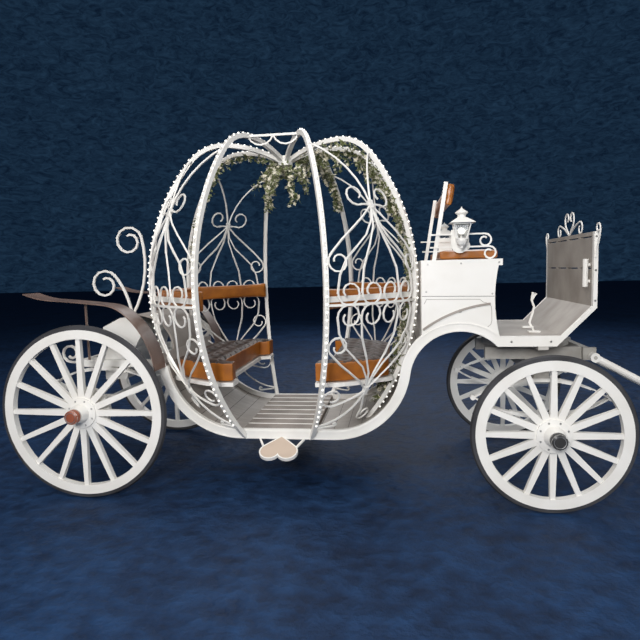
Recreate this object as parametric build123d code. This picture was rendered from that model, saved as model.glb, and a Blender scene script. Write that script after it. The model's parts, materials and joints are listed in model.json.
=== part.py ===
from build123d import *
import os
from math import asin, atan, atan2, cos, degrees, hypot, radians, sin, sqrt, tan

os.makedirs("parts", exist_ok=True)

# Driving dimensions, in mm. X runs forward, Y to the left, Z up from the ground.
# Lengths along X are first counted from the rear axle.

# Wheels
track = 1500
rear_wheel_radius = 565
front_wheel_radius = 465
tyre_depth = 30
tyre_width = 36
tyre_crown = 9
felloe_depth = 58
felloe_width = 44
spoke_count = 16
spoke_root = 44
spoke_tip = 28
spoke_thickness = 30
hub_radius = 62
hub_length = 200
hub_flange_radius = 98
hub_flange_width = 14
hub_shoulder = 20
hub_cap_radius = 44
hub_cap_length = 46
hub_cap_round = 8
axle_radius = 22
axle_fit = 0.05
axle_bore_depth = 165
axle_end_play = 2
drum_radius = 150
drum_width = 34
axle_beam = 46
axle_collar_radius = 48
axle_collar_width = 16
seat_gap = 0.3

# Cage
cage_centre = 1225
cage_belly_radius = 985
cage_belly_height = 1335
cage_roundness = 1.397
cage_crest_radius = 420
cage_crest_height = 2335
cage_crown_drop = 100
cage_hub_radius = 52
crown_depth = 66
crown_rise = 20
rib_size = 28
rib_overlap = 20
door_rib_azimuth = 23.5
end_rib_azimuth = 68.5
rear_rib_foot = 700
front_rib_foot = 400
rod_size = 10
hoop_size = 14
collar_size = 26
collar_length = 50

# Side frames
body_half_width = 520
side_thickness = 30
sill_bottom = 338
sill_depth = 64
rear_curve_radius = 567
rear_curve_back = 245
rear_frame_drop = 90
front_curve_radius = 500
arch_radius = 310
arch_lift = 95
arch_ahead = 235

# Driver's box, footboard and dash
box_gap = 13.4
box_depth = 486
box_foot_set = 15
box_waist_set = 44
box_neck_set = 24
box_waist_height = 267
box_cornice = 40
box_height = 475
box_board = 18
axle_ahead = 241
wheel_clearance = 15
foot_floor_depth = 63
toe_ahead = 78
toe_run = 225
toe_rise = 231
dash_height = 452
dash_thickness = 24
dash_slot = 8
dash_slot_count = 4
dash_slot_gap = 36

# Seats
floor_top = 400
floor_thickness = 24
floor_inset = 5
floor_reach = 245
floor_bearer = 30
slat_count = 8
slat_gap = 14
bench_top = 730
bench_board = 26
cushion_height = 138
bench_inset = 16
back_low = 1200
back_high = 1340
back_pad_depth = 60
back_rail_height = 34
back_rail_depth = 12
pan_thickness = 14
pan_inset = 14

# Springs and undercarriage
spring_width = 46
spring_eye_radius = 16
leaf = 8
leaf_slack = 0.5
front_spring_half = 410
rear_spring_half = 370
rear_spring_rise = 224
spring_spread = 455
rear_rail_size = 46
rear_rail_reach = 185
rail_scroll_radius = 60
rail_scroll_bar = 14
ring_radius = 285
ring_width = 38
ring_thickness = 22
kingpin_radius = 20
kingpin_depth = 60
turntable_depth = 203
ring_bar = 60
bolster_height = 80
bolster_width = 90
bolster_overhang = 30
futchell_spread = 215
futchell_width = 44
futchell_tail = 300

# Shafts
shaft_reach = 368
shaft_hinge_rise = 100
shaft_spread = 300
shaft_run = 1505
shaft_root_radius = 24
shaft_tip_radius = 17
shaft_sides = 12
shaft_pin_radius = 12
shaft_eye_radius = 30
shaft_eye_width = 52
shaft_bar_radius = 16
shaft_bar_share = 0.2
lug_width = 20
lug_reach = 20
lug_depth = 40
lug_drop = 22

# Driver's seat
driver_cushion_height = 58
driver_cushion_inset = 10
driver_post_size = 24
driver_post_set = 80
driver_post_length = 480
driver_post_lean = 9
driver_back_low = 340
driver_back_depth = 44
driver_rail_bar = 10
driver_rail_front = 411
driver_scroll_radius = 38.5
driver_scroll_shift = 27

# Trunk, rear panel and fenders
rear_panel_radius = 252
rear_panel_end = 102
trunk_half_width = 290
tail_bar = 16
fender_width = 170
fender_thickness = 6
fender_stay = 12

# Lanterns
lamp_foot_half = 31
lamp_head_half = 53
lamp_eave_half = 74
lamp_post = 8
lamp_wall = 5
lamp_glass = 2.5
lamp_lift = 119
lamp_glass_height = 96
lamp_roof_height = 32
lamp_plate_half = 53
lamp_plate_thickness = 8
lamp_plate_low = 40
lamp_plate_high = 182

# Steps, crest, whip socket and brake
step_lobe_radius = 68
step_lobe_reach = 142
step_lobe_spread = 57
step_slope = 25
step_thickness = 22
step_rim = 8
step_recess = 4
step_ahead = 25
step_rod = 12
crest_bar = 8
socket_radius = 16
socket_bore = 11
socket_length = 168
socket_floor = 12
socket_inset = 40
socket_low = 124
brake_bar = 12
brake_offset = 300
moulding_width = 14
moulding_thickness = 6

# Curls: each closes to this share of its radius, in straight runs of about this many degrees
curl_close = 0.6
curl_step = 30
bend_step = 20

parts = {}


# Helpers
def slab(face, y_low, y_high):
    """A side-view face, drawn in X and Z, made solid from y_low to y_high."""
    return Pos(0, y_high, 0) * extrude(Plane.XZ * face, amount=y_high - y_low)


def block(x_low, x_high, y_low, y_high, z_low, z_high):
    """A square-edged bar or board between six planes."""
    size = (x_high - x_low, y_high - y_low, z_high - z_low)
    centre = Pos((x_high + x_low) / 2, (y_high + y_low) / 2, (z_high + z_low) / 2)
    return centre * Box(*size)


def rod_y(radius, y_low, y_high, x, z):
    """A round rod along Y."""
    return Pos(x, (y_low + y_high) / 2, z) * Rot(90, 0, 0) * Cylinder(radius, y_high - y_low)


def other_side(solid):
    """The same piece on the other side of the centre plane."""
    return mirror(solid, about=Plane.XZ)


def both_sides(solid):
    """A piece and its twin on the other side, as one node."""
    return Compound(children=[solid, other_side(solid)])


def strip(points, normal, width, reach=0):
    """A bar of square section along points of one plane, its two ends drawn out by reach."""
    normal = normal.normalized()
    tangents = [(b - a).normalized() for a, b in zip(points, points[1:])]
    points = [points[0] - tangents[0] * reach, *points[1:-1], points[-1] + tangents[-1] * reach]
    outer, inner = [], []
    for i, point in enumerate(points):
        before, after = tangents[max(i - 1, 0)], tangents[min(i, len(tangents) - 1)]
        along = (before + after).normalized()
        stretch = width / 2 / along.dot(after)
        across = normal.cross(along) * stretch
        outer.append(point + across)
        inner.append(point - across)
    face = Face(Wire.make_polygon(outer + inner[::-1], close=True))
    return extrude(face.translate(normal * (-width / 2)), amount=width, dir=normal)


def arc_points(arc, count):
    """Points at even steps along an edge."""
    return [arc.position_at(i / count) for i in range(count + 1)]


def arc_bar(start, middle, end, width, count):
    """A square bar bent to the arc through three points."""
    normal = (middle - start).cross(end - middle)
    return strip(arc_points(Edge.make_three_point_arc(start, middle, end), count), normal, width, width / 2)


def tangent_bar(start, leaving, end, width):
    """A square bar bent to the arc that leaves start in a given direction."""
    turn = 2 * leaving.get_angle(end - start)
    count = max(2, round(turn / bend_step))
    arc = Edge.make_tangent_arc(start, leaving, end)
    return strip(arc_points(arc, count), leaving.cross(end - start), width, width / 2)


def bent_bars(start, leaving, end, arriving, width):
    """Two tangent arcs of square bar, from start to end in the given directions."""
    chord = end - start
    along = chord.dot(leaving + arriving)
    spare = 2 * (1 - leaving.dot(arriving))
    if spare > 0.001:
        reach = (sqrt(along ** 2 + spare * chord.dot(chord)) - along) / spare
    else:
        reach = chord.dot(chord) / (2 * along)
    joint = (start + leaving * reach + end - arriving * reach) / 2
    return [tangent_bar(start, leaving, joint, width), tangent_bar(end, -arriving, joint, width)]


def direction(angle, right, up):
    """A unit vector in the plane of right and up, the angle counted from right towards up."""
    return right * cos(radians(angle)) + up * sin(radians(angle))


def curl_reach(radius, turned):
    """How far a curl still reaches from its centre after that share of its turn."""
    return radius * (1 - curl_close * turned ** 2)


def curl_points(centre, right, up, radius, start, turn):
    """Points of a curl that closes as it turns, the angles in degrees from right towards up."""
    steps = round(abs(turn) / curl_step)
    return [centre + direction(start + turn * i / steps, right, up) * curl_reach(radius, i / steps)
            for i in range(steps + 1)]


def curl_bar(centre, right, up, radius, start, turn, width):
    """A curl of square bar, begun a little early so that it nests in the bar that brings it."""
    early = bend_step / 2 * (1 if turn > 0 else -1)
    points = curl_points(centre, right, up, radius, start - early, turn + early)
    return strip(points, right.cross(up), width)


def scroll_bars(start, leaving, centre, radius, meet, turn, width, right, up):
    """A bar from start that runs into a curl: leaving and meet are angles, turn is signed."""
    end = centre + direction(meet, right, up) * radius
    arriving = direction(meet + (90 if turn > 0 else -90), right, up)
    bars = bent_bars(start, direction(leaving, right, up), end, arriving, width)
    return [*bars, curl_bar(centre, right, up, radius, meet, turn, width - 1)]


# Wheels, made about the origin with the outer side towards +Y
def spoked_wheel(radius, drum):
    felloe_outer = radius - tyre_depth
    felloe_inner = felloe_outer - felloe_depth
    half = felloe_width / 2
    ring = slab(Circle(felloe_outer) - Circle(felloe_inner), -half, half)
    reach = felloe_inner + felloe_depth / 4
    root = hub_radius * 0.8
    outline = Polyline((-spoke_root / 2, root), (spoke_root / 2, root),
                       (spoke_tip / 2, reach), (-spoke_tip / 2, reach), close=True)
    spoke = slab(make_face(outline), -spoke_thickness / 2, spoke_thickness / 2)
    spokes = [Rot(0, i * 360 / spoke_count, 0) * spoke for i in range(spoke_count)]
    inner_end = -hub_length / 2
    outer_end = hub_length / 2
    bore = axle_radius + axle_fit
    bore_end = inner_end + axle_bore_depth
    flange = spoke_thickness / 2 + hub_flange_width
    profile = Polyline(
        (bore, inner_end), (root, inner_end), (hub_radius, -flange - hub_shoulder),
        (hub_flange_radius, -flange), (hub_flange_radius, flange), (hub_radius, flange + leaf),
        (hub_cap_radius, outer_end), (hub_cap_radius, outer_end + hub_cap_length - hub_cap_round),
        (0, outer_end + hub_cap_length), (0, bore_end), (bore, bore_end), close=True)
    wheel = revolve(make_face(profile), axis=Axis.Y) + ring + spokes
    if drum:
        low = -flange - hub_shoulder - drum_width
        wheel += slab(Circle(drum_radius) - Circle(root), low, low + drum_width)
    return wheel


def wheel_tyre(radius):
    """A solid tyre with a low crown."""
    base = radius - tyre_depth
    half = tyre_width / 2
    profile = Polyline((base, -half), (radius - tyre_crown, -half), (radius, 0),
                       (radius - tyre_crown, half), (base, half), close=True)
    return revolve(make_face(profile), axis=Axis.Y)


# Places along the carriage, worked forward from the cage
rear_curve_centre = cage_centre - rear_curve_back
cage_reach = (cage_belly_radius * sin(radians(end_rib_azimuth))
              + rib_size / 2 * cos(radians(end_rib_azimuth)))
box_rear = cage_centre + cage_reach + box_gap
box_front = box_rear + box_depth
box_foot_x = box_front - box_foot_set
arch_top_x = box_rear + arch_ahead
wheelbase = box_front + axle_ahead
toe_foot_x = wheelbase + toe_ahead
dash_x = toe_foot_x + toe_run
dash_inner_x = dash_x - dash_thickness
shaft_hinge_x = wheelbase + shaft_reach

# Heights, worked up from the front wheels, which turn under the footboard
foot_floor_bottom = 2 * front_wheel_radius + wheel_clearance
foot_floor_top = foot_floor_bottom + foot_floor_depth
arch_top = foot_floor_bottom + arch_lift
box_top = foot_floor_top + box_height
dash_bottom = foot_floor_bottom + toe_rise
dash_top = dash_bottom + dash_height

# place: name, axle X, wheel radius, brake drum
wheel_table = [
    ("rear", 0, rear_wheel_radius, True),
    ("front", wheelbase, front_wheel_radius, False),
]
for place, wheel_x, wheel_radius, drum in wheel_table:
    seat = Pos(wheel_x, track / 2, wheel_radius)
    left_wheel = seat * spoked_wheel(wheel_radius, drum)
    left_tyre = seat * wheel_tyre(wheel_radius)
    parts[place + "_left_wheel"] = left_wheel
    parts[place + "_left_tyre"] = left_tyre
    parts[place + "_right_wheel"] = other_side(left_wheel)
    parts[place + "_right_tyre"] = other_side(left_tyre)


# Side frames: a sill that curves up at both ends, an arch over the front wheel,
# the side of the driver's box, the edge of the footboard and the dash
side_low = body_half_width - side_thickness
rear_centre_z = sill_bottom + rear_curve_radius
front_centre_z = sill_bottom + front_curve_radius
arch_centre_z = arch_top - arch_radius
curve_span = arch_radius + front_curve_radius
front_centre_x = arch_top_x - sqrt(curve_span ** 2 - (front_centre_z - arch_centre_z) ** 2)
arch_slope = degrees(atan2(arch_centre_z - front_centre_z, arch_top_x - front_centre_x))
arch_end = degrees(asin((foot_floor_bottom - arch_centre_z) / arch_radius))
inner_arch = arch_radius + sill_depth
box_rise = sqrt(inner_arch ** 2 - arch_ahead ** 2)
rear_end_angle = 180 + degrees(asin(rear_frame_drop / rear_curve_radius))
toe_slope = atan2(toe_rise, toe_run)
toe_inner_x = toe_foot_x + (foot_floor_depth - dash_thickness / cos(toe_slope)) / tan(toe_slope)
toe_high = foot_floor_top + (dash_inner_x - toe_inner_x) * tan(toe_slope)


def sweep_arc(x, z, radius, start, end):
    """An arc of the side view about (x, z), from one angle to another."""
    return CenterArc((x, z), radius, start, end - start)


def curve_band(depth):
    """The curved sill with its ends, depth wide."""
    def edge(inset):
        rear = sweep_arc(rear_curve_centre, rear_centre_z, rear_curve_radius - inset, rear_end_angle, 270)
        front = sweep_arc(front_centre_x, front_centre_z, front_curve_radius - inset, 270, 360 + arch_slope)
        return rear, front
    rear_low, front_low = edge(0)
    rear_high, front_high = edge(depth)
    return make_face([rear_low, Line(rear_low @ 1, front_low @ 0), front_low,
                      Line(front_low @ 1, front_high @ 1), front_high,
                      Line(front_high @ 0, rear_high @ 1), rear_high, Line(rear_high @ 0, rear_low @ 0)])


def box_front_curve(inset):
    """The hollowed front edge of the driver's box, from its foot up to the cornice."""
    waist_z = foot_floor_top + box_waist_height
    return ThreePointArc((box_foot_x - inset, foot_floor_top),
                         (box_front - box_waist_set - inset, waist_z),
                         (box_front - box_neck_set - inset, box_top - box_cornice))


def box_side_face():
    """The arch, the side of the driver's box, the footboard's edge and the dash's edge."""
    start = 180 + arch_slope
    arch = sweep_arc(arch_top_x, arch_centre_z, arch_radius, start, arch_end)
    upper = sweep_arc(arch_top_x, arch_centre_z, inner_arch, start, 180 - degrees(atan2(box_rise, arch_ahead)))
    front = box_front_curve(0)
    outline = Polyline(arch @ 1, (toe_foot_x, foot_floor_bottom), (dash_x, dash_bottom), (dash_x, dash_top),
                       (dash_inner_x, dash_top), (dash_inner_x, toe_high), (toe_inner_x, foot_floor_top), front @ 0)
    top = Polyline(front @ 1, (box_front, box_top - box_cornice), (box_front, box_top), (box_rear, box_top),
                   upper @ 1)
    return make_face([arch, *outline.edges(), front, *top.edges(), upper, Line(upper @ 0, arch @ 0)])


left_side = slab(curve_band(sill_depth), side_low, body_half_width)
left_side += slab(box_side_face(), side_low, body_half_width)
parts["left_side_frame"] = left_side
parts["right_side_frame"] = other_side(left_side)

# Driver's box between the side frames: seat board, cornice, hollowed front and back board
liner_top = arch_radius + pan_inset + pan_thickness
back_foot = arch_centre_z + sqrt(liner_top ** 2 - (arch_ahead - box_board) ** 2) + seat_gap
front_edge, front_inner = box_front_curve(0), box_front_curve(box_board)
front_board = make_face([
    Line((box_foot_x, foot_floor_bottom), (box_foot_x, foot_floor_top)), front_edge,
    Line(front_edge @ 1, front_inner @ 1), front_inner,
    Line((box_foot_x - box_board, foot_floor_top), (box_foot_x - box_board, foot_floor_bottom)),
    Line((box_foot_x - box_board, foot_floor_bottom), (box_foot_x, foot_floor_bottom))])
box = slab(front_board, -side_low, side_low)
box += block(box_rear, box_front, -side_low, side_low, box_top - box_board, box_top)
box += block(box_front - box_neck_set - box_board, box_front, -side_low, side_low, box_top - box_cornice, box_top)
box += block(box_rear, box_rear + box_board, -side_low, side_low, back_foot, box_top)
parts["driver_box"] = box

# Footboard: flat floor and sloping toe board in one folded sheet
toe_board = dash_thickness / cos(toe_slope)
fold_x = toe_inner_x + dash_thickness * tan(toe_slope / 2)
foot_low = foot_floor_top - dash_thickness
foot_face = make_face(Polyline(
    (box_foot_x, foot_low), (fold_x, foot_low), (dash_inner_x, toe_high - toe_board),
    (dash_inner_x, toe_high), (toe_inner_x, foot_floor_top), (box_foot_x, foot_floor_top), close=True))
parts["footboard"] = slab(foot_face, -side_low, side_low)

# Dash between the side frames, with two rows of slots
dash = block(dash_inner_x, dash_x, -side_low, side_low, toe_high, dash_top)
slot_pitch = 2 * side_low / dash_slot_count
for height in (dash_top - dash_thickness - dash_slot, (dash_top + toe_high) / 2):
    for i in range(dash_slot_count):
        y = -side_low + i * slot_pitch + dash_slot_gap / 2
        dash -= block(dash_inner_x, dash_x, y, y + slot_pitch - dash_slot_gap, height, height + dash_slot)
parts["dash"] = dash

# Body pans: curved sheets between the side frames, fore and aft of the entry floor.
# The front one goes on over the front wheels as the floor of the driver's box.
rear_pan_outer = rear_curve_radius - pan_inset
rear_pan_inner = rear_pan_outer - pan_thickness
front_pan_outer = front_curve_radius - pan_inset
front_pan_inner = front_pan_outer - pan_thickness
liner_run = box_foot_x - box_board - arch_top_x
floor_rear = rear_curve_centre + floor_inset
floor_front = cage_centre + floor_reach


def pan_side(inset):
    """Edge lines of the front pan: the sill curve, then the arch, inset above the frame's edge."""
    over = arch_radius + inset
    end = degrees(atan2(sqrt(over ** 2 - liner_run ** 2), liner_run))
    return [sweep_arc(front_centre_x, front_centre_z, front_curve_radius - inset, 270, 360 + arch_slope),
            sweep_arc(arch_top_x, arch_centre_z, over, 180 + arch_slope, end)]


def sheet_face(low, high, flat_x):
    """A sheet between two rows of edge lines, with a flat end at flat_x."""
    low_start, high_start = low[0] @ 0, high[0] @ 0
    low_flat = Vector(flat_x, low_start.Y)
    high_flat = Vector(flat_x, high_start.Y)
    return make_face([Line(low_flat, low_start), *low, Line(low[-1] @ 1, high[-1] @ 1), *high,
                      Line(high_start, high_flat), Line(high_flat, low_flat)])


rear_pan_low = [CenterArc((rear_curve_centre, rear_centre_z), rear_pan_outer, 270, -90)]
rear_pan_high = [CenterArc((rear_curve_centre, rear_centre_z), rear_pan_inner, 270, -90)]
front_pan = sheet_face(pan_side(pan_inset), pan_side(pan_inset + pan_thickness), floor_front)
parts["rear_pan"] = slab(sheet_face(rear_pan_low, rear_pan_high, floor_rear), -side_low, side_low)
parts["front_pan"] = slab(front_pan, -side_low, side_low)

# Rear panel: the pan's sheet bent back over the trunk
panel_z = rear_centre_z
panel_x = rear_curve_centre - rear_pan_inner - rear_panel_radius
panel_under = rear_panel_radius - pan_thickness
bend_out = CenterArc((panel_x, panel_z), rear_panel_radius, 0, rear_panel_end)
bend_in = CenterArc((panel_x, panel_z), panel_under, 0, rear_panel_end)
panel_face = make_face([bend_out, Line(bend_out @ 1, bend_in @ 1), bend_in, Line(bend_in @ 0, bend_out @ 0)])
parts["rear_panel"] = slab(panel_face, -trunk_half_width, trunk_half_width)

# Trunk: a closed locker under the bend, its places counted from the bend's centre
trunk_rear = panel_x - 279
trunk_shoulder = panel_z + 162
bend_lip = Vector(panel_x, panel_z) + Vector(panel_under - seat_gap, 0).rotate(Axis.Z, rear_panel_end)
trunk_face = make_face(Polyline(
    (trunk_rear, panel_z - 220), (trunk_rear, trunk_shoulder), (panel_x - 145, panel_z + 226), bend_lip,
    (panel_x + 7, panel_z + 101), (panel_x - 44, panel_z + 10), (panel_x - 118, panel_z - 213), close=True))
trunk = slab(trunk_face, -trunk_half_width, trunk_half_width)
parts["trunk"] = trunk

# Tall scrolls on the trunk's lid, in the centre plane, counted from the lid's rear edge.
# foot, middle of the stem, centre of the curl (X and Z of each), radius, met at, turn
tail_table = [
    ((27, -20), (194, 323), (90, 625), 104, 20, 450),
    ((88, -20), (50, 203), (-122, 301), 104, 40, 430),
]
tail_bars = []
for foot, stem, centre, radius, meet, turn in tail_table:
    foot, stem, centre = [Vector(trunk_rear + x, 0, trunk_shoulder + z) for x, z in (foot, stem, centre)]
    meeting = centre + direction(meet, Vector(1, 0, 0), Vector(0, 0, 1)) * radius
    tail_bars.append(arc_bar(foot, stem, meeting, tail_bar, 8))
    tail_bars.append(curl_bar(centre, Vector(1, 0, 0), Vector(0, 0, 1), radius, meet, turn, tail_bar - 1))
parts["rear_scrolls"] = tail_bars[0].fuse(*tail_bars[1:]) - trunk

# Rear fenders: bent sheets carried by the side frames and by a stay to each rear rail,
# counted from the rear end of the side frame's curve
fender_x = rear_curve_centre - rear_curve_radius
fender_z = rear_centre_z
fender_path = [(fender_x + 57, fender_z - 85), (fender_x - 133, fender_z + 281), (fender_x - 268, fender_z + 342),
               (fender_x - 623, fender_z + 377), (fender_x - 823, fender_z + 423)]
rear_spring_seat = rear_wheel_radius + axle_beam / 2 + rear_spring_rise
heading = Vector(cos(radians(96)), sin(radians(96)))
fender_arcs = []
for start, end in zip(fender_path, fender_path[1:]):
    fender_arcs.append(TangentArc(start, end, tangent=heading))
    heading = fender_arcs[-1] % 1
fender_inner = body_half_width + seat_gap
fender = slab(trace(fender_arcs, fender_thickness), fender_inner, fender_inner + fender_width)
stay_foot = Vector(-110, spring_spread, rear_spring_seat + rear_rail_size - fender_stay / 2)
stay_head = Vector(fender_x - 438, fender_inner + fender_width / 2, fender_z + 364)
fender += strip([stay_foot, stay_head], Vector(1, 0, 0).cross(stay_head - stay_foot), fender_stay)

# Entry floor: slats that run fore and aft on two bearers
slat_pitch = (2 * side_low + slat_gap) / slat_count
floor_bottom = floor_top - floor_thickness
floor_solid = []
for i in range(slat_count):
    y = -side_low + i * slat_pitch
    floor_solid.append(block(floor_rear, floor_front, y, y + slat_pitch - slat_gap, floor_bottom, floor_top))
for x in (floor_rear, floor_front - floor_bearer):
    floor_solid.append(block(x, x + floor_bearer, -side_low, side_low, floor_bottom - floor_bearer, floor_bottom))
parts["entry_floor"] = floor_solid[0].fuse(*floor_solid[1:])


# Cage curve in radius and height: an arc up from the sill, a belly arc, a tighter shoulder
# and a fall to the hub. The first arc ends where the door ribs lie on the side frames.
sill_middle = sill_bottom + sill_depth / 2
foot_radius = (body_half_width + rib_size) / cos(radians(door_rib_azimuth))
foot_fall = cage_belly_height - sill_middle
foot_run = cage_belly_radius - foot_radius
foot_arc = (foot_fall ** 2 + foot_run ** 2) / (2 * foot_run)
foot_centre = cage_belly_radius - foot_arc
crest_rise = cage_crest_height - cage_belly_height
belly_arc = cage_roundness * crest_rise
belly_centre = cage_belly_radius - belly_arc
crest_run = cage_crest_radius - belly_centre
shoulder_angle = 90 - 2 * degrees(atan((belly_arc - crest_rise) / crest_run))
shoulder_span = crest_run / cos(radians(shoulder_angle))
shoulder_arc = belly_arc - shoulder_span
shoulder_z = cage_belly_height + shoulder_span * sin(radians(shoulder_angle))
cage_hub_height = cage_crest_height - cage_crown_drop
fall_run = cage_crest_radius - cage_hub_radius / 2
fall_arc = (fall_run ** 2 + cage_crown_drop ** 2) / (2 * cage_crown_drop)
fall_angle = degrees(atan2(fall_run, fall_arc - cage_crown_drop))


def cage_radius(z, depth=0):
    """Radius of the cage at height z below its shoulder, depth inside the ribs' outer face."""
    arc, centre = (foot_arc, foot_centre) if z < cage_belly_height else (belly_arc, belly_centre)
    return centre + sqrt((arc - depth) ** 2 - (z - cage_belly_height) ** 2)


def foot_angle(z):
    """The angle on the lowest arc at height z."""
    return -degrees(asin((cage_belly_height - z) / foot_arc))


def rib_outline(foot):
    """A rib in radius and height, from its foot's angle to the hub."""
    def side(depth):
        low = CenterArc((foot_centre, cage_belly_height), foot_arc - depth, foot, -foot)
        belly = CenterArc((belly_centre, cage_belly_height), belly_arc - depth, 0, shoulder_angle)
        shoulder = CenterArc((cage_crest_radius, shoulder_z), shoulder_arc - depth,
                             shoulder_angle, 90 - shoulder_angle)
        drop = CenterArc((cage_crest_radius, cage_crest_height - fall_arc), fall_arc - depth, 90, fall_angle)
        return low, belly, shoulder, drop
    outer, inner = side(0), side(rib_size)
    return make_face([*outer, Line(outer[-1] @ 1, inner[-1] @ 1), *inner, Line(inner[0] @ 0, outer[0] @ 0)])


crown = Pos(0, 0, cage_hub_height + crown_rise - crown_depth / 2) * Cylinder(cage_hub_radius, crown_depth)


def rib(azimuth, foot):
    """One rib of the front right quarter, its flat face in a plane through the cage's axis."""
    half = rib_size / 2
    flat = slab(rib_outline(foot), -half, half)
    return Pos(cage_centre, 0, 0) * Rot(0, 0, azimuth - 90) * (flat - crown)


def turned(solid):
    """The same piece at the other end of the cage."""
    return mirror(solid, about=Plane.YZ.offset(cage_centre))


side_clear = block(0, 2 * cage_centre, -body_half_width - 0.05, body_half_width + 0.05, 0,
                   floor_top + 3 * rib_overlap)
door_rib = rib(door_rib_azimuth, foot_angle(sill_bottom - rib_overlap)) - side_clear

# Scroll panel of a quarter, in the cage's curve midway through the ribs' depth. Places on it
# are degrees across from its middle, towards the end rib, and a height.
panel_depth = rib_size / 2
panel_half = (end_rib_azimuth - door_rib_azimuth) / 2
panel_middle = door_rib_azimuth + panel_half
collar_high = cage_belly_height + 490
collar_low = cage_belly_height - 655
hoop_height = cage_belly_height - 98
shoulder_height = cage_belly_height + 878


def panel_point(across, z):
    """A point of the front right panel."""
    azimuth = radians(panel_middle + across)
    r = cage_radius(z, panel_depth)
    return Vector(cage_centre + r * sin(azimuth), -r * cos(azimuth), z)


def panel_frame(across, z):
    """A point of the panel, with its directions across, towards the end rib, and up."""
    azimuth = radians(panel_middle + across)
    right = Vector(cos(azimuth), sin(azimuth), 0)
    up = (panel_point(across, z + 1) - panel_point(across, z - 1)).normalized()
    return panel_point(across, z), right, up


def panel_scroll(side, row):
    """A rod from a collar with its curl, on the door's side (-1) or the end rib's side (1)."""
    start_z, leaving, across, z, radius, meet, turn = row
    if side > 0:
        leaving, across, meet, turn = 180 - leaving, -across, 180 - meet, -turn
    centre, right, up = panel_frame(across, z)
    start, start_right, start_up = panel_frame(0, start_z)
    end = centre + direction(meet, right, up) * radius
    arriving = direction(meet + (90 if turn > 0 else -90), right, up)
    bars = bent_bars(start, direction(leaving, start_right, start_up), end, arriving, rod_size)
    return [*bars, curl_bar(centre, right, up, radius, meet, turn, rod_size - 1)]


# Scrolls on the door's side, and mirrored on the end rib's side. Angles are in degrees,
# 0 towards the end rib and 90 up, and a turn is positive anticlockwise from outside.
# height at the collar, leaving, curl's place across, its height, radius, met at, turn
scroll_table = [
    (collar_high, 225, -17.75, cage_belly_height + 152, 62, 140, 400),
    (collar_high, 262, -14.0, hoop_height + 70, 75, 180, 390),
    (collar_high, 268, -4.65, hoop_height + 70, 75, 180, 390),
    (collar_high, 185, -6.6, collar_high + 55, 68, 290, -330),
    (collar_low, 130, -17.6, cage_belly_height - 345, 62, 220, -400),
    (collar_low, 98, -14.0, hoop_height - 70, 75, 180, -390),
    (collar_low, 92, -4.65, hoop_height - 70, 75, 180, -390),
]
foot_scroll = (collar_low, 215, -17.0, collar_low - 25, 68, 290, -400)


def end_scroll(height, radius):
    """The curl beside the end rib's foot, written as on the door's side."""
    return (collar_low, 268, -8.0, height, radius, 0, -390)


def panel_arc(start, middle, end, width=rod_size, count=6):
    """A bar of the panel through three of its places."""
    return arc_bar(panel_point(*start), panel_point(*middle), panel_point(*end), width, count)


def collar(z):
    """The clip that holds the rods together."""
    low, high = panel_point(0, z - collar_length / 2), panel_point(0, z + collar_length / 2)
    return strip([low, high], panel_frame(0, z)[1], collar_size)


def sill_curl():
    """A small curl that leaves the door rib just above the sill."""
    across, radius = -11, 17
    height = floor_top + rib_size + radius
    centre, right, up = panel_frame(across, height)
    run = cage_radius(height, panel_depth) * radians(panel_half + across)
    start = centre - right * run - up * radius
    return strip([start, *curl_points(centre, right, up, radius, 270, 250)], right.cross(up), rod_size)


def panel_bars(end_height, end_radius):
    """All bars of one panel."""
    bars = [collar(collar_high), collar(collar_low), sill_curl()]
    bars.append(panel_arc((-panel_half, hoop_height), (0, hoop_height), (panel_half, hoop_height), hoop_size, 8))
    for side in (-1, 1):
        bars.append(panel_arc((0, collar_high), (side * 7.6, collar_high + 251), (side * panel_half, shoulder_height)))
        for row in scroll_table:
            bars += panel_scroll(side, row)
    bars += panel_scroll(-1, foot_scroll)
    bars += panel_scroll(1, end_scroll(end_height, end_radius))
    bars.append(panel_arc((0, collar_low), (-4.8, collar_low - 132), (-panel_half, collar_low - 240)))
    return bars

# Ribs: an end rib's foot is shaped to the pan or the flat beside it
span = (-body_half_width, body_half_width)
rear_pan_body = rod_y(rear_pan_outer + 0.05, *span, rear_curve_centre, rear_centre_z)
front_keep = rod_y(front_pan_inner - 0.05, *span, front_centre_x, front_centre_z)
front_keep += block(cage_centre, front_centre_x, *span, floor_top, front_centre_z)
front_pan_body = block(cage_centre, box_rear, *span, 0, front_centre_z) - front_keep
front_end_rib = rib(end_rib_azimuth, foot_angle(front_rib_foot)) - front_pan_body
rear_end_rib = rib(end_rib_azimuth, foot_angle(rear_rib_foot)) - turned(rear_pan_body)

# Quarters of the cage. Columns: end rib, height and radius of the curl beside its foot
front_quarter = door_rib.fuse(front_end_rib, *panel_bars(collar_low - 190, 55))
rear_quarter = turned(door_rib.fuse(rear_end_rib, *panel_bars(collar_low - 120, 48))) - parts["rear_pan"]
for place, quarter in (("front", front_quarter), ("rear", rear_quarter)):
    parts["cage_" + place + "_right"] = quarter
    parts["cage_" + place + "_left"] = other_side(quarter)
parts["cage_crown"] = Pos(cage_centre, 0, 0) * crown

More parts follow.
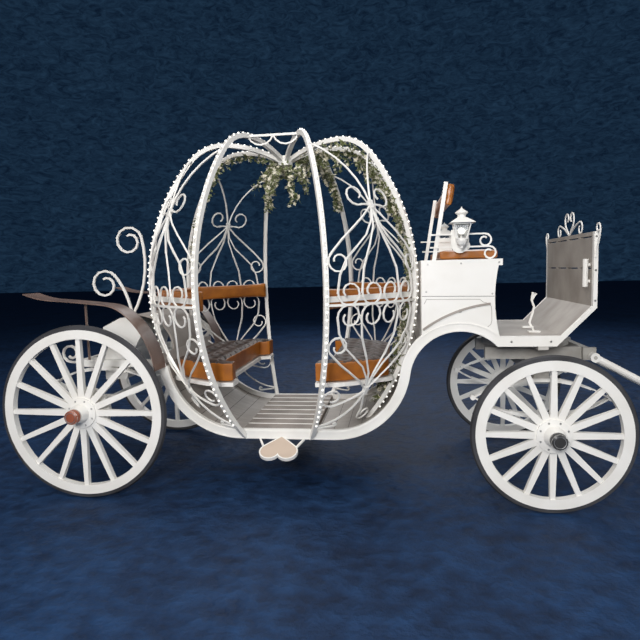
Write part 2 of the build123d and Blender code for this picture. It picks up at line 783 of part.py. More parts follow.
# Door ties: a bar between the crests of two door ribs, with two loops below it
crest_run_x = cage_crest_radius * sin(radians(door_rib_azimuth))
crest_y = -cage_crest_radius * cos(radians(door_rib_azimuth))
tie_z = cage_crest_height - panel_depth
tie_ends = [Vector(cage_centre + side * crest_run_x, crest_y, tie_z) for side in (-1, 0, 1)]
tie_bars = [strip([tie_ends[0], tie_ends[2]], Vector(0, 1, 0), hoop_size)]
for low, high in zip(tie_ends, tie_ends[1:]):
    tie_bars.append(arc_bar(low, (low + high) / 2 - Vector(0, 0, 3 * rib_overlap), high, rod_size, 6))
door_tie = tie_bars[0].fuse(*tie_bars[1:]) - door_rib - turned(door_rib)
parts["door_ties"] = both_sides(door_tie)

# Benches, cushions and wrap-around backs: the rear set, and the same turned for the front.
# Columns: share of the cage's inner radius at the bench, degrees from the fore-aft axis
seat_radius = cage_radius(bench_top, rib_size)
seat_plan = [
    (1.033, 27.9),
    (0.957, 39.8),
    (0.909, 52.7),
    (0.866, 61.3),
    (0.820, 67.0),
    (0.691, 62.4),
    (0.707, 54.5),
]


def plan_face(inset):
    """The seat's outline seen from above, made smaller by inset."""
    places = [Vector(seat_radius * share, 0).rotate(Axis.Z, turn) for share, turn in seat_plan]
    left = [(cage_centre - p.X - inset / 3, p.Y - inset) for p in places]
    right = [(x, -y) for x, y in reversed(left)]
    return make_face(Polyline(*left, *right, close=True))


bench_low = bench_top - bench_board
bench = Pos(0, 0, bench_low) * extrude(plan_face(bench_inset), amount=bench_board)
cushion = Pos(0, 0, bench_top + seat_gap) * extrude(plan_face(0), amount=cushion_height)

back_mid = (back_low + back_high) / 2
rail_outer = cage_radius(back_mid - back_rail_height / 2, rib_size)
rail_azimuths = [90 + door_rib_azimuth, 90 + end_rib_azimuth, 270 - end_rib_azimuth, 270 - door_rib_azimuth]


def back_bar(inner, outer, z_low, z_high):
    """A bar in straight runs from rib to rib behind the seat, open towards the doorway."""
    loop = [Vector(outer, 0).rotate(Axis.Z, a) for a in rail_azimuths]
    loop += [Vector(inner, 0).rotate(Axis.Z, a) for a in reversed(rail_azimuths)]
    return Pos(cage_centre, 0, z_low) * extrude(make_face(Polyline(*loop, close=True)), amount=z_high - z_low)


rail_inner = rail_outer - back_rail_depth
back_rail = back_bar(rail_inner, rail_outer, back_mid - back_rail_height / 2, back_mid + back_rail_height / 2)
back_pad = back_bar(rail_inner - back_pad_depth, rail_inner - seat_gap, back_low, back_high)
wide = (-cage_belly_radius, cage_belly_radius)
rear_pan_hollow = rod_y(rear_pan_inner - seat_gap, *wide, rear_curve_centre, rear_centre_z)
front_pan_hollow = rod_y(front_pan_inner - seat_gap, *wide, front_centre_x, front_centre_z)
for name, solid in (("bench", bench), ("seat_cushion", cushion)):
    parts["rear_" + name] = solid & rear_pan_hollow
    trimmed = turned(solid) & front_pan_hollow
    for post in (door_rib, front_end_rib):
        trimmed = trimmed - post - other_side(post)
    parts["front_" + name] = trimmed
for name, solid in (("back_rail", back_rail), ("back_pad", back_pad)):
    parts["rear_" + name] = solid
    parts["front_" + name] = turned(solid)

# Driver's seat: cushion, and a back pad on two leaning posts
post_foot = Pos(box_rear + driver_post_set, 0, box_top) * Rot(0, driver_post_lean, 0)
half_post = driver_post_size / 2
post_sink = driver_post_size * tan(radians(driver_post_lean))
post = post_foot * block(-half_post, half_post, side_low - driver_post_size, side_low, -post_sink, driver_post_length)
post -= block(0, box_front, -side_low, side_low, 0, box_top)
parts["driver_seat_irons"] = both_sides(post)
back_start = half_post + seat_gap
parts["driver_back_pad"] = post_foot * block(back_start, back_start + driver_back_depth, -side_low, side_low,
                                             driver_back_low, driver_post_length)
cushion_rear = box_rear + driver_post_set + driver_post_size
parts["driver_cushion"] = block(cushion_rear, box_front - driver_cushion_inset,
                                driver_cushion_inset - side_low, side_low - driver_cushion_inset,
                                box_top + seat_gap, box_top + driver_cushion_height)

# Driver's side rails: two bars from each post, each ending in a curl that stands on what is below it
rail_y = side_low + driver_rail_bar / 2
fore, rise = Vector(1, 0, 0), Vector(0, 0, 1)
rail_turn = -400
half_turned = curl_reach(driver_scroll_radius, 180 / abs(rail_turn))
low_centre_z = box_top + driver_rail_bar / 2 + half_turned
low_rail_z = low_centre_z + driver_scroll_radius
high_centre_z = low_rail_z + driver_rail_bar / 2 + half_turned
rail_bars = []
# height of the curl's centre, its place ahead of the box's rear
for centre_z, centre_ahead in ((low_centre_z, driver_rail_front), (high_centre_z, driver_rail_front - driver_scroll_shift)):
    rail_z = centre_z + driver_scroll_radius
    post_x = box_rear + driver_post_set - (rail_z - box_top) * tan(radians(driver_post_lean))
    centre = Vector(box_rear + centre_ahead, rail_y, centre_z)
    points = [Vector(post_x - half_post, rail_y, rail_z)]
    points += curl_points(centre, fore, rise, driver_scroll_radius, 90, rail_turn)
    rail_bars.append(strip(points, fore.cross(rise), driver_rail_bar))
parts["driver_side_rails"] = both_sides(rail_bars[0].fuse(*rail_bars[1:]))

# Lanterns, each on a round-ended plate outside the side rails
plate_y = rail_y + driver_rail_bar / 2
lamp_y = plate_y + lamp_plate_thickness + lamp_eave_half + lamp_wall
lamp_low = box_top + lamp_lift
lamp_high = lamp_low + lamp_glass_height
plate_centre_z = box_top + lamp_plate_low + lamp_plate_half
plate_face = Pos(arch_top_x, plate_centre_z) * Circle(lamp_plate_half)
plate_rise = box_top + lamp_plate_high - plate_centre_z
plate_face += Pos(arch_top_x, plate_centre_z + plate_rise / 2) * Rectangle(2 * lamp_plate_half, plate_rise)
lamp_plate = slab(plate_face, plate_y, plate_y + lamp_plate_thickness)


def lamp_taper(inset, low, high):
    """The tapered square of the lantern between two heights, inset from its faces."""
    slope = (lamp_head_half - lamp_foot_half) / lamp_glass_height
    squares = []
    for z in (low, high):
        half = lamp_foot_half + slope * (z - lamp_low) - inset
        squares.append(Plane.XY.offset(z) * Rectangle(2 * half, 2 * half))
    return loft(squares, ruled=True)


def lamp_window():
    """The opening in two opposite faces of the lantern."""
    foot, head = lamp_foot_half - lamp_post, lamp_head_half - lamp_post
    face = make_face(Polyline((-foot, lamp_low + lamp_post), (foot, lamp_low + lamp_post),
                              (head, lamp_high - lamp_post), (-head, lamp_high - lamp_post), close=True))
    return slab(face, -2 * lamp_head_half, 2 * lamp_head_half)


case = lamp_taper(0, lamp_low, lamp_high) - lamp_taper(lamp_wall, lamp_low - 1, lamp_high + 1)
case = case - lamp_window() - Rot(0, 0, 90) * lamp_window()
roof = loft([Plane.XY.offset(lamp_high) * Rectangle(2 * lamp_eave_half, 2 * lamp_eave_half),
             Plane.XY.offset(lamp_high + lamp_roof_height) * Rectangle(lamp_head_half, lamp_head_half)], ruled=True)
# radius and height above the glass's foot, down the bowl, and up the chimney
bowl_profile = [(0, -54), (9, -54), (11, -42), (26, -28), (34, -8), (34, 0), (0, 0)]
chimney_profile = [(0, 120), (24, 120), (24, 143), (39, 155), (36, 160), (14, 176), (7, 180), (0, 194)]
bowl = revolve(make_face(Polyline(*[(r, lamp_low + z) for r, z in bowl_profile], close=True)), axis=Axis.Y)
chimney = revolve(make_face(Polyline(*[(r, lamp_low + z) for r, z in chimney_profile], close=True)), axis=Axis.Y)
lamp_body = case + roof + Rot(90, 0, 0) * (bowl + chimney)
lamp_arm = block(arch_top_x - lamp_post, arch_top_x + lamp_post, plate_y, lamp_y,
                 lamp_low - 3 * lamp_post, lamp_low - lamp_post)
lamp_place = Pos(arch_top_x, lamp_y, 0)
parts["lanterns"] = both_sides(lamp_place * lamp_body + lamp_plate + lamp_arm)
pane = lamp_taper(lamp_wall + seat_gap, lamp_low + seat_gap, lamp_high - seat_gap)
pane -= lamp_taper(lamp_wall + seat_gap + lamp_glass, lamp_low - 1, lamp_high + 1)
parts["lamp_glass"] = both_sides(lamp_place * pane)

# Crest on the dash: a pair of tall loops between two low curls, and a curl at each corner
crest_x = dash_x - dash_thickness / 2
side_way = Vector(0, 1, 0)
crest_foot = Vector(crest_x, 0, dash_top)
curl_seat = dash_top + crest_bar / 2 + curl_reach(43, 190 / 330)
low_curl = scroll_bars(crest_foot, 32, Vector(crest_x, 222, curl_seat), 43, 100, -330, crest_bar, side_way, rise)
tall_loop = scroll_bars(crest_foot, 45, Vector(crest_x, 50, dash_top + 112), 44, 0, 240, crest_bar, side_way, rise)
crest_bars = [*low_curl, *tall_loop, *[other_side(bar) for bar in low_curl + tall_loop]]
crest_bars.append(block(crest_x - crest_bar / 2, crest_x + crest_bar / 2, -20, 20,
                        dash_top + 104, dash_top + 104 + crest_bar))
crest = crest_bars[0].fuse(*crest_bars[1:])
crest -= block(dash_inner_x, dash_x, -side_low, side_low, toe_high, dash_top)
corner_foot = Vector(crest_x, body_half_width + crest_bar / 2, dash_top - 148)
corner_bars = scroll_bars(corner_foot, 90, Vector(crest_x, body_half_width + 25, dash_top + 17), 32, 0, 300,
                          crest_bar, side_way, rise)
corner = corner_bars[0].fuse(*corner_bars[1:])
parts["dash_crest"] = Compound(children=[crest, corner, other_side(corner)])

# Whip socket: a tube held to the dash by two clips
socket_x = dash_inner_x - socket_radius - lamp_plate_thickness
socket_y = socket_inset - side_low
socket_z = dash_bottom + socket_low
socket = Pos(socket_x, socket_y, socket_z + socket_length / 2) * Cylinder(socket_radius, socket_length)
for z in (socket_z + socket_length * 0.2, socket_z + socket_length * 0.8):
    socket += block(socket_x, dash_inner_x, socket_y - socket_bore, socket_y + socket_bore, z - crest_bar, z + crest_bar)
socket -= Pos(socket_x, socket_y, socket_z + socket_floor + socket_length / 2) * Cylinder(socket_bore, socket_length)
parts["whip_socket"] = socket

# Foot brake on the footboard: a bent lever with a forked top and a small tread,
# counted from the front axle and the footboard's top
brake_stem = [(-2, 0), (-33, 62), (-15, 122), (-5, 162), (-21, 207), (-13, 257)]
brake_fork = [(-21, 207), (6, 250)]
brake_bars = []
for line in (brake_stem, brake_fork):
    points = [Vector(wheelbase + x, -brake_offset, foot_floor_top + z) for x, z in line]
    brake_bars.append(strip(points, Vector(0, 1, 0), brake_bar))
tread_z = foot_floor_top + 30
brake_bars.append(block(wheelbase - 77, wheelbase - 12, -brake_offset - 22, -brake_offset + 22, tread_z, tread_z + crest_bar))
brake_bars.append(block(wheelbase - 40, wheelbase + 30, -brake_offset - 26, -brake_offset + 26,
                        foot_floor_top, foot_floor_top + crest_bar))
brake = brake_bars[0].fuse(*brake_bars[1:])
parts["brake_lever"] = brake - block(box_foot_x, dash_x, -side_low, side_low, 0, foot_floor_top)

# Mouldings: a curved strip on each side of the box
moulding_arc = ThreePointArc((box_rear + 8, foot_floor_top + 45), (box_rear + 160, foot_floor_top + 134),
                             (box_rear + 415, foot_floor_top + 203))
parts["box_mouldings"] = both_sides(slab(trace(moulding_arc, moulding_width), body_half_width,
                                         body_half_width + moulding_thickness))

# Heart-shaped steps below the doorways, on rods from the sills
lobe_tangent = degrees(atan2(step_lobe_spread, step_lobe_reach)) + degrees(
    asin(step_lobe_radius / hypot(step_lobe_spread, step_lobe_reach)))


def heart_face(inset):
    """A heart from above: its tip at the origin, its lobes towards +Y."""
    radius = step_lobe_radius - inset
    tip = inset / sin(radians(lobe_tangent))
    reach = hypot(step_lobe_reach - tip, step_lobe_spread)
    touch = sqrt(reach ** 2 - radius ** 2)
    side = Vector(0, touch).rotate(Axis.Z, -lobe_tangent)
    face = make_face(Polyline((0, tip), (side.X, tip + side.Y), (step_lobe_spread, step_lobe_reach),
                              (-step_lobe_spread, step_lobe_reach), (-side.X, tip + side.Y), close=True))
    for sign in (-1, 1):
        face += Pos(sign * step_lobe_spread, step_lobe_reach) * Circle(radius)
    return face


step_x = cage_centre + step_ahead
step_place = Pos(step_x, body_half_width - step_rim, sill_bottom + step_thickness) * Rot(-step_slope, 0, 0)
step = Pos(0, 0, -step_thickness) * extrude(heart_face(0), amount=step_thickness)
step -= Pos(0, 0, -step_recess) * extrude(heart_face(step_rim), amount=2 * step_recess)
step = step_place * step
rod_sink = Vector(98, 115, -step_thickness * 0.6).rotate(Axis.X, -step_slope)
for sign in (-1, 1):
    foot = Vector(step_x + sign * 163, side_low, sill_bottom + step_rod)
    head = Vector(step_x + sign * rod_sink.X, body_half_width - step_rim + rod_sink.Y,
                  sill_bottom + step_thickness + rod_sink.Z)
    step += strip([foot, head], (head - foot).cross(Vector(0, 0, 1)), step_rod)
step -= block(box_rear - 2 * cage_belly_radius, box_rear, 0, body_half_width, 0, floor_top)
parts["door_steps"] = both_sides(step)
tread = step_place * (Pos(0, 0, -step_recess) * extrude(heart_face(step_rim + seat_gap), amount=step_recess - 1))
parts["step_treads"] = both_sides(tread)


# Undercarriage
def elliptic_spring(half, bottom, top):
    """Full elliptic leaf spring in side view, eyes fore and aft, about X = 0."""
    middle = (bottom + top) / 2
    solid = None
    for sign, peak in ((1, top), (-1, bottom)):
        for i, share in enumerate((1, 0.72, 0.44)):
            rise = (peak - middle) - sign * i * leaf
            radius = (half ** 2 + rise ** 2) / (2 * abs(rise))
            centre = peak - sign * i * leaf - sign * radius
            reach = degrees(asin(half * share / radius))
            outer = CenterArc((0, centre), radius, 90 * sign - reach, 2 * reach)
            inner = CenterArc((0, centre), radius - leaf - leaf_slack, 90 * sign - reach, 2 * reach)
            face = make_face([outer, Line(outer @ 1, inner @ 1), inner, Line(inner @ 0, outer @ 0)])
            piece = slab(face, -spring_width / 2, spring_width / 2)
            solid = piece if solid is None else solid + piece
    for x in (-half, half):
        solid += rod_y(spring_eye_radius, -spring_width / 2, spring_width / 2, x, middle)
    return solid


front_spring_seat = foot_floor_bottom - turntable_depth
shaft_hinge_z = front_spring_seat + shaft_hinge_rise

# place: name, axle X, wheel radius, spring half length, spring top
axle_table = [
    ("rear", 0, rear_wheel_radius, rear_spring_half, rear_spring_seat),
    ("front", wheelbase, front_wheel_radius, front_spring_half, front_spring_seat),
]
hub_inner = track / 2 - hub_length / 2
for place, x, radius, half, top in axle_table:
    collar_end = hub_inner - seat_gap
    beam_end = collar_end - axle_collar_width
    axle = block(x - axle_beam / 2, x + axle_beam / 2, -beam_end, beam_end,
                 radius - axle_beam / 2, radius + axle_beam / 2)
    for sign in (-1, 1):
        ends = sorted((sign * beam_end, sign * collar_end))
        axle += rod_y(axle_collar_radius, *ends, x, radius)
        ends = sorted((sign * beam_end, sign * (hub_inner + axle_bore_depth - axle_end_play)))
        axle += rod_y(axle_radius, *ends, x, radius)
    parts[place + "_axle"] = axle
    spring = Pos(x, spring_spread, 0) * elliptic_spring(half, radius + axle_beam / 2, top)
    parts[place + "_springs"] = both_sides(spring)

# Rear rails on the springs, with a curl at each rear end and two bars across
rail_top = rear_spring_seat + rear_rail_size
rail_half = rear_rail_size / 2
rail_solids = []
for sign in (-1, 1):
    y = sign * spring_spread
    rail_solids.append(block(-rear_rail_reach, rear_curve_centre, y - rail_half, y + rail_half,
                             rear_spring_seat, rail_top) - rear_pan_body)
    low = rear_spring_seat + rail_half + rail_scroll_bar / 2
    centre = Vector(-rear_rail_reach - rail_scroll_radius, y, low + rail_scroll_radius)
    points = [Vector(-rear_rail_reach + rail_scroll_bar, y, low)]
    points += curl_points(centre, fore, rise, rail_scroll_radius, 270, -400)
    rail_solids.append(strip(points, fore.cross(rise), rail_scroll_bar))
for x in (-rear_rail_reach, trunk_rear - floor_bearer):
    rail_solids.append(block(x, x + floor_bearer, rail_half - spring_spread, spring_spread - rail_half,
                             rear_spring_seat, rail_top))
parts["rear_rails"] = rail_solids[0].fuse(*rail_solids[1:])
parts["rear_fenders"] = both_sides(fender - parts["rear_rails"])

# Turntable: upper ring under the footboard, lower ring on the fore carriage
upper_ring_low = foot_floor_bottom - ring_thickness
lower_ring_high = upper_ring_low - seat_gap
lower_ring_low = lower_ring_high - ring_thickness
ring_face = Circle(ring_radius) - Circle(ring_radius - ring_width)
upper_ring = Pos(wheelbase, 0, upper_ring_low) * extrude(ring_face, amount=ring_thickness)
lower_ring = Pos(wheelbase, 0, lower_ring_low) * extrude(ring_face, amount=ring_thickness)
upper_ring += block(wheelbase - ring_bar / 2, wheelbase + ring_bar / 2, -body_half_width, body_half_width,
                    upper_ring_low, foot_floor_bottom)
bolster_top = front_spring_seat + bolster_height
pin_end = bolster_top - kingpin_depth
upper_ring += Pos(wheelbase, 0, (pin_end + upper_ring_low) / 2) * Cylinder(kingpin_radius, upper_ring_low - pin_end)
parts["upper_ring"] = upper_ring
bolster_end = spring_spread + bolster_overhang
bolster = block(wheelbase - bolster_width / 2, wheelbase + bolster_width / 2, -bolster_end, bolster_end,
                front_spring_seat, bolster_top)
futchell_end = shaft_hinge_x - lug_reach
futchells = []
for sign in (-1, 1):
    y = sign * futchell_spread
    futchells.append(block(wheelbase - futchell_tail, futchell_end, y - futchell_width / 2, y + futchell_width / 2,
                           bolster_top, lower_ring_low))
fore_frame = bolster.fuse(lower_ring, *futchells)
lug_outer = shaft_spread - shaft_eye_width / 2 - seat_gap
fore_frame += block(futchell_end - lug_depth, futchell_end, -lug_outer, lug_outer, bolster_top, lower_ring_low)
fore_frame -= Pos(wheelbase, 0, pin_end + ring_radius / 2) * Cylinder(kingpin_radius + axle_fit, ring_radius)
for sign in (-1, 1):
    ends = sorted((sign * (lug_outer - lug_width), sign * lug_outer))
    fore_frame += block(futchell_end - lug_depth, shaft_hinge_x + lug_reach, *ends,
                        shaft_hinge_z - lug_drop, lower_ring_low)
    ends = sorted((sign * (lug_outer - lug_width), sign * (shaft_spread + shaft_eye_width / 2)))
    fore_frame += rod_y(shaft_pin_radius, *ends, shaft_hinge_x, shaft_hinge_z)
parts["fore_frame"] = fore_frame

# Shafts: two tapered poles that rest on the ground, with a bar across them
shaft_drop = shaft_hinge_z - shaft_tip_radius
shaft_length = hypot(shaft_drop, shaft_run)
shaft_slope = degrees(atan2(shaft_drop, shaft_run))
# distance along the pole, radius there
pole_table = [
    (0, shaft_root_radius),
    (shaft_length, shaft_tip_radius),
    (shaft_length + shaft_tip_radius * 0.7, shaft_tip_radius * 0.7),
]
rings = [Plane.XY.offset(along) * RegularPolygon(radius, shaft_sides) for along, radius in pole_table]
pole = loft(rings, ruled=True)
pole = Pos(shaft_hinge_x, shaft_spread, shaft_hinge_z) * Rot(0, 90 + shaft_slope, 0) * pole
eye_half = shaft_eye_width / 2
pole += rod_y(shaft_eye_radius, shaft_spread - eye_half, shaft_spread + eye_half, shaft_hinge_x, shaft_hinge_z)
pole -= rod_y(shaft_pin_radius + axle_fit, shaft_spread - 2 * eye_half, shaft_spread + 2 * eye_half,
              shaft_hinge_x, shaft_hinge_z)
bar_x = shaft_hinge_x + shaft_bar_share * shaft_run
bar_z = shaft_hinge_z - shaft_bar_share * shaft_drop
shaft_bar = rod_y(shaft_bar_radius, -shaft_spread, shaft_spread, bar_x, bar_z)
parts["shafts"] = pole.fuse(other_side(pole), shaft_bar)

# The origin: under the middle of the whole carriage, on the ground
boxes = [solid.bounding_box() for solid in parts.values()]
middle_x = (min(box.min.X for box in boxes) + max(box.max.X for box in boxes)) / 2
for name, solid in parts.items():
    export_step(Pos(-middle_x, 0, 0) * solid, f"parts/{name}.step")
print("rear axle X", round(-middle_x, 3), "front axle X", round(wheelbase - middle_x, 3),
      "shaft hinge X", round(shaft_hinge_x - middle_x, 3), "Z", round(shaft_hinge_z, 3))
print("lowest shaft point", round(parts["shafts"].bounding_box().min.Z, 3))
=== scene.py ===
import bpy
import bmesh
import json
import math
import random
from mathutils import Matrix, Vector, noise


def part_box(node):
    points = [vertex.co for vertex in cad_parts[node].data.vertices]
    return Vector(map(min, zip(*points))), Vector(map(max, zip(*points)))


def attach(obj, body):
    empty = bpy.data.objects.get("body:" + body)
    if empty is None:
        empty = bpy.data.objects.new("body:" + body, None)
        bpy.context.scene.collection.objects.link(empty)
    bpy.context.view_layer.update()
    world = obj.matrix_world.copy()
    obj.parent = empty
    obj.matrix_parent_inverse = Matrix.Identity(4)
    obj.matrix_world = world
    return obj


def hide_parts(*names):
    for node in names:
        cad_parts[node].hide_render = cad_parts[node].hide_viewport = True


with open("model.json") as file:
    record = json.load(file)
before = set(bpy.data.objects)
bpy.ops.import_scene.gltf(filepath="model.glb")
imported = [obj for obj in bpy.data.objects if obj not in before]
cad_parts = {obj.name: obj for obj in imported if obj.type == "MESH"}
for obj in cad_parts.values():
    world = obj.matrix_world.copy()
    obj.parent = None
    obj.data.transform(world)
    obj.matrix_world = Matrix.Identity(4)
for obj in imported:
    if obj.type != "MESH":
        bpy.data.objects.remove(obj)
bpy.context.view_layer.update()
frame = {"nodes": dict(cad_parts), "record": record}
nodes = frame["nodes"]
random.seed(7)

# Photograph's camera, in metres and radians. Its place is counted from the rear axle.
rear_axle_x = sum(corner.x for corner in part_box("rear_right_wheel")) / 2
front_axle_x = sum(corner.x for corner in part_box("front_right_wheel")) / 2
camera_place = Vector((rear_axle_x + 2.0036, -3.9805, 1.4488))
camera_yaw = 0.13835
camera_pitch = 0.09312
camera_roll = -0.02459
camera_focal = 549.9
photo_side = 640
sensor_width = 36.0

# Repeated from the frame's dimensions: the sides' outer face, the pans' bends as distances
# ahead of the rear axle and heights, and the wheels' radii
side_face = 0.520
rear_bend = (0.980, 0.905)
front_bend = (1.592, 0.838)
wheel_radii = {"rear": 0.565, "front": 0.465}


def at(x, y, z):
    """A point from its distance ahead of the rear axle, its Y and its height, in metres."""
    return Vector((rear_axle_x + x, y, z))


def make_camera():
    """The photograph's camera."""
    forward = Vector((-math.sin(camera_yaw) * math.cos(camera_pitch),
                      math.cos(camera_yaw) * math.cos(camera_pitch), -math.sin(camera_pitch)))
    level = Vector((math.cos(camera_yaw), math.sin(camera_yaw), 0))
    up = level.cross(forward)
    right = level * math.cos(camera_roll) + up * math.sin(camera_roll)
    top = up * math.cos(camera_roll) - level * math.sin(camera_roll)
    data = bpy.data.cameras.new("camera")
    data.sensor_width = sensor_width
    data.lens = camera_focal / photo_side * sensor_width
    camera = bpy.data.objects.new("camera", data)
    turn = Matrix((right, top, -forward)).transposed().to_4x4()
    camera.matrix_world = Matrix.Translation(camera_place) @ turn
    bpy.context.scene.collection.objects.link(camera)
    bpy.context.scene.camera = camera


# Materials
def new_material(name):
    """A material with its node tree and its shader."""
    material = bpy.data.materials.new(name)
    material.use_nodes = True
    return material, material.node_tree, material.node_tree.nodes["Principled BSDF"]


def coordinates(tree, scale=(1, 1, 1)):
    """The object's own coordinates, stretched by scale."""
    place = tree.nodes.new("ShaderNodeTexCoord")
    mapping = tree.nodes.new("ShaderNodeMapping")
    mapping.inputs["Scale"].default_value = scale
    tree.links.new(place.outputs["Object"], mapping.inputs["Vector"])
    return mapping.outputs["Vector"]


def noise_value(tree, scale, detail=3.0, stretch=(1, 1, 1)):
    """A noise from 0 to 1."""
    texture = tree.nodes.new("ShaderNodeTexNoise")
    texture.inputs["Scale"].default_value = scale
    texture.inputs["Detail"].default_value = detail
    tree.links.new(coordinates(tree, stretch), texture.inputs["Vector"])
    return texture.outputs["Fac"]


def sums(tree, operation, *values):
    """A maths node on links or plain numbers."""
    node = tree.nodes.new("ShaderNodeMath")
    node.operation = operation
    for slot, value in zip(node.inputs, values):
        if isinstance(value, (int, float)):
            slot.default_value = value
        else:
            tree.links.new(value, slot)
    return node.outputs[0]


def ramp(tree, value, stops):
    """A colour ramp: stops are (place, colour)."""
    node = tree.nodes.new("ShaderNodeValToRGB")
    points = node.color_ramp.elements
    while len(points) < len(stops):
        points.new(0.5)
    for point, (place, colour) in zip(points, stops):
        point.position = place
        point.color = (*colour, 1)
    tree.links.new(value, node.inputs["Fac"])
    return node.outputs["Color"]


def mix(tree, factor, first, second):
    """A blend of two colours, each a link or a plain colour."""
    node = tree.nodes.new("ShaderNodeMix")
    node.data_type = "RGBA"
    tree.links.new(factor, node.inputs[0])
    for slot, value in ((node.inputs[6], first), (node.inputs[7], second)):
        if isinstance(value, tuple):
            slot.default_value = (*value, 1)
        else:
            tree.links.new(value, slot)
    return node.outputs[2]


def roughen(tree, shader, value, low, high):
    """A roughness that follows value from low to high."""
    node = tree.nodes.new("ShaderNodeMapRange")
    node.inputs["To Min"].default_value = low
    node.inputs["To Max"].default_value = high
    tree.links.new(value, node.inputs["Value"])
    tree.links.new(node.outputs["Result"], shader.inputs["Roughness"])


def bump(tree, shader, value, strength, distance):
    """Fine relief from value."""
    node = tree.nodes.new("ShaderNodeBump")
    node.inputs["Strength"].default_value = strength
    node.inputs["Distance"].default_value = distance
    tree.links.new(value, node.inputs["Height"])
    tree.links.new(node.outputs["Normal"], shader.inputs["Normal"])


def paint(name, light, dark, rough=0.36, grain=0.25, edge=None):
    """Brushed enamel in two shades, with worn edges where edge gives their colour."""
    material, tree, shader = new_material(name)
    patches = noise_value(tree, 5.0, 6.0)
    colour = ramp(tree, patches, [(0.30, dark), (0.62, light)])
    if edge:
        sharp = tree.nodes.new("ShaderNodeNewGeometry").outputs["Pointiness"]
        worn = sums(tree, "MULTIPLY", sums(tree, "SUBTRACT", sharp, 0.52), 9.0)
        worn = sums(tree, "MULTIPLY", worn, noise_value(tree, 38.0, 4.0))
        node = tree.nodes.new("ShaderNodeClamp")
        tree.links.new(worn, node.inputs[0])
        colour = mix(tree, node.outputs[0], colour, edge)
    tree.links.new(colour, shader.inputs["Base Color"])
    fine = noise_value(tree, 160.0, 2.0)
    roughen(tree, shader, patches, rough + 0.12, rough - 0.04)
    bump(tree, shader, fine, grain, 0.0006)
    return material


def planks(name, light, dark, bend, pitch=0.2):
    """Painted boards laid across a curved pan, split at equal angles about its bend's centre."""
    material, tree, shader = new_material(name)
    split = tree.nodes.new("ShaderNodeSeparateXYZ")
    tree.links.new(coordinates(tree), split.inputs[0])
    run = sums(tree, "SUBTRACT", split.outputs[0], rear_axle_x + bend[0])
    fall = sums(tree, "SUBTRACT", split.outputs[2], bend[1])
    turn = sums(tree, "DIVIDE", sums(tree, "ARCTAN2", fall, run), pitch)
    board = sums(tree, "FLOOR", turn)
    joint = sums(tree, "ABSOLUTE", sums(tree, "SUBTRACT", sums(tree, "FRACT", turn), 0.5))
    gap = sums(tree, "GREATER_THAN", joint, 0.482)
    shade = tree.nodes.new("ShaderNodeTexWhiteNoise")
    shade.noise_dimensions = "1D"
    tree.links.new(board, shade.inputs["W"])
    grain = noise_value(tree, 9.0, 5.0, (1, 6, 1))
    value = sums(tree, "ADD", sums(tree, "MULTIPLY", shade.outputs["Value"], 0.35),
                 sums(tree, "MULTIPLY", grain, 0.65))
    colour = ramp(tree, value, [(0.25, dark), (0.7, light)])
    tree.links.new(mix(tree, gap, colour, (0.03, 0.027, 0.024)), shader.inputs["Base Color"])
    roughen(tree, shader, grain, 0.5, 0.38)
    relief = sums(tree, "SUBTRACT", grain, sums(tree, "MULTIPLY", gap, 3.0))
    bump(tree, shader, relief, 0.35, 0.0015)
    return material


def leather(name, light, dark, rough, scale=260.0, shine=0.5):
    """Grained leather, with painted shade in its folds and painted highlights on its ridges."""
    material, tree, shader = new_material(name)
    patches = noise_value(tree, 7.0, 5.0)
    # Painted shade and highlight: the colour darkens where the surface folds inward and lightens on
    # ridges, as light would fall.
    sharp = tree.nodes.new("ShaderNodeNewGeometry").outputs["Pointiness"]
    fold_shade_ridge_light = sums(tree, "MULTIPLY", sums(tree, "SUBTRACT", sharp, 0.5), 5.0)
    fold = sums(tree, "ADD", fold_shade_ridge_light, patches)
    tree.links.new(ramp(tree, fold, [(0.25, dark), (0.62, light)]), shader.inputs["Base Color"])
    cells = tree.nodes.new("ShaderNodeTexVoronoi")
    cells.inputs["Scale"].default_value = scale
    tree.links.new(coordinates(tree), cells.inputs["Vector"])
    roughen(tree, shader, patches, rough + 0.1, rough - 0.06)
    shader.inputs["Specular IOR Level"].default_value = shine
    bump(tree, shader, cells.outputs["Distance"], 0.25, 0.0005)
    return material


def glass(name):
    """Clear glass with a little haze."""
    material, tree, shader = new_material(name)
    haze = noise_value(tree, 30.0, 3.0)
    tree.links.new(ramp(tree, haze, [(0.3, (0.88, 0.89, 0.88)), (0.7, (0.95, 0.96, 0.95))]),
                   shader.inputs["Base Color"])
    roughen(tree, shader, haze, 0.03, 0.09)
    shader.inputs["Transmission Weight"].default_value = 1.0
    shader.inputs["Alpha"].default_value = 0.3
    return material


def glow(name, colour, strength):
    """A lit bead."""
    material, tree, shader = new_material(name)
    haze = noise_value(tree, 400.0, 2.0)
    tree.links.new(ramp(tree, haze, [(0.3, tuple(0.85 * c for c in colour)), (0.7, colour)]),
                   shader.inputs["Base Color"])
    shader.inputs["Emission Color"].default_value = (*colour, 1)
    shader.inputs["Emission Strength"].default_value = strength
    roughen(tree, shader, haze, 0.15, 0.3)
    return material


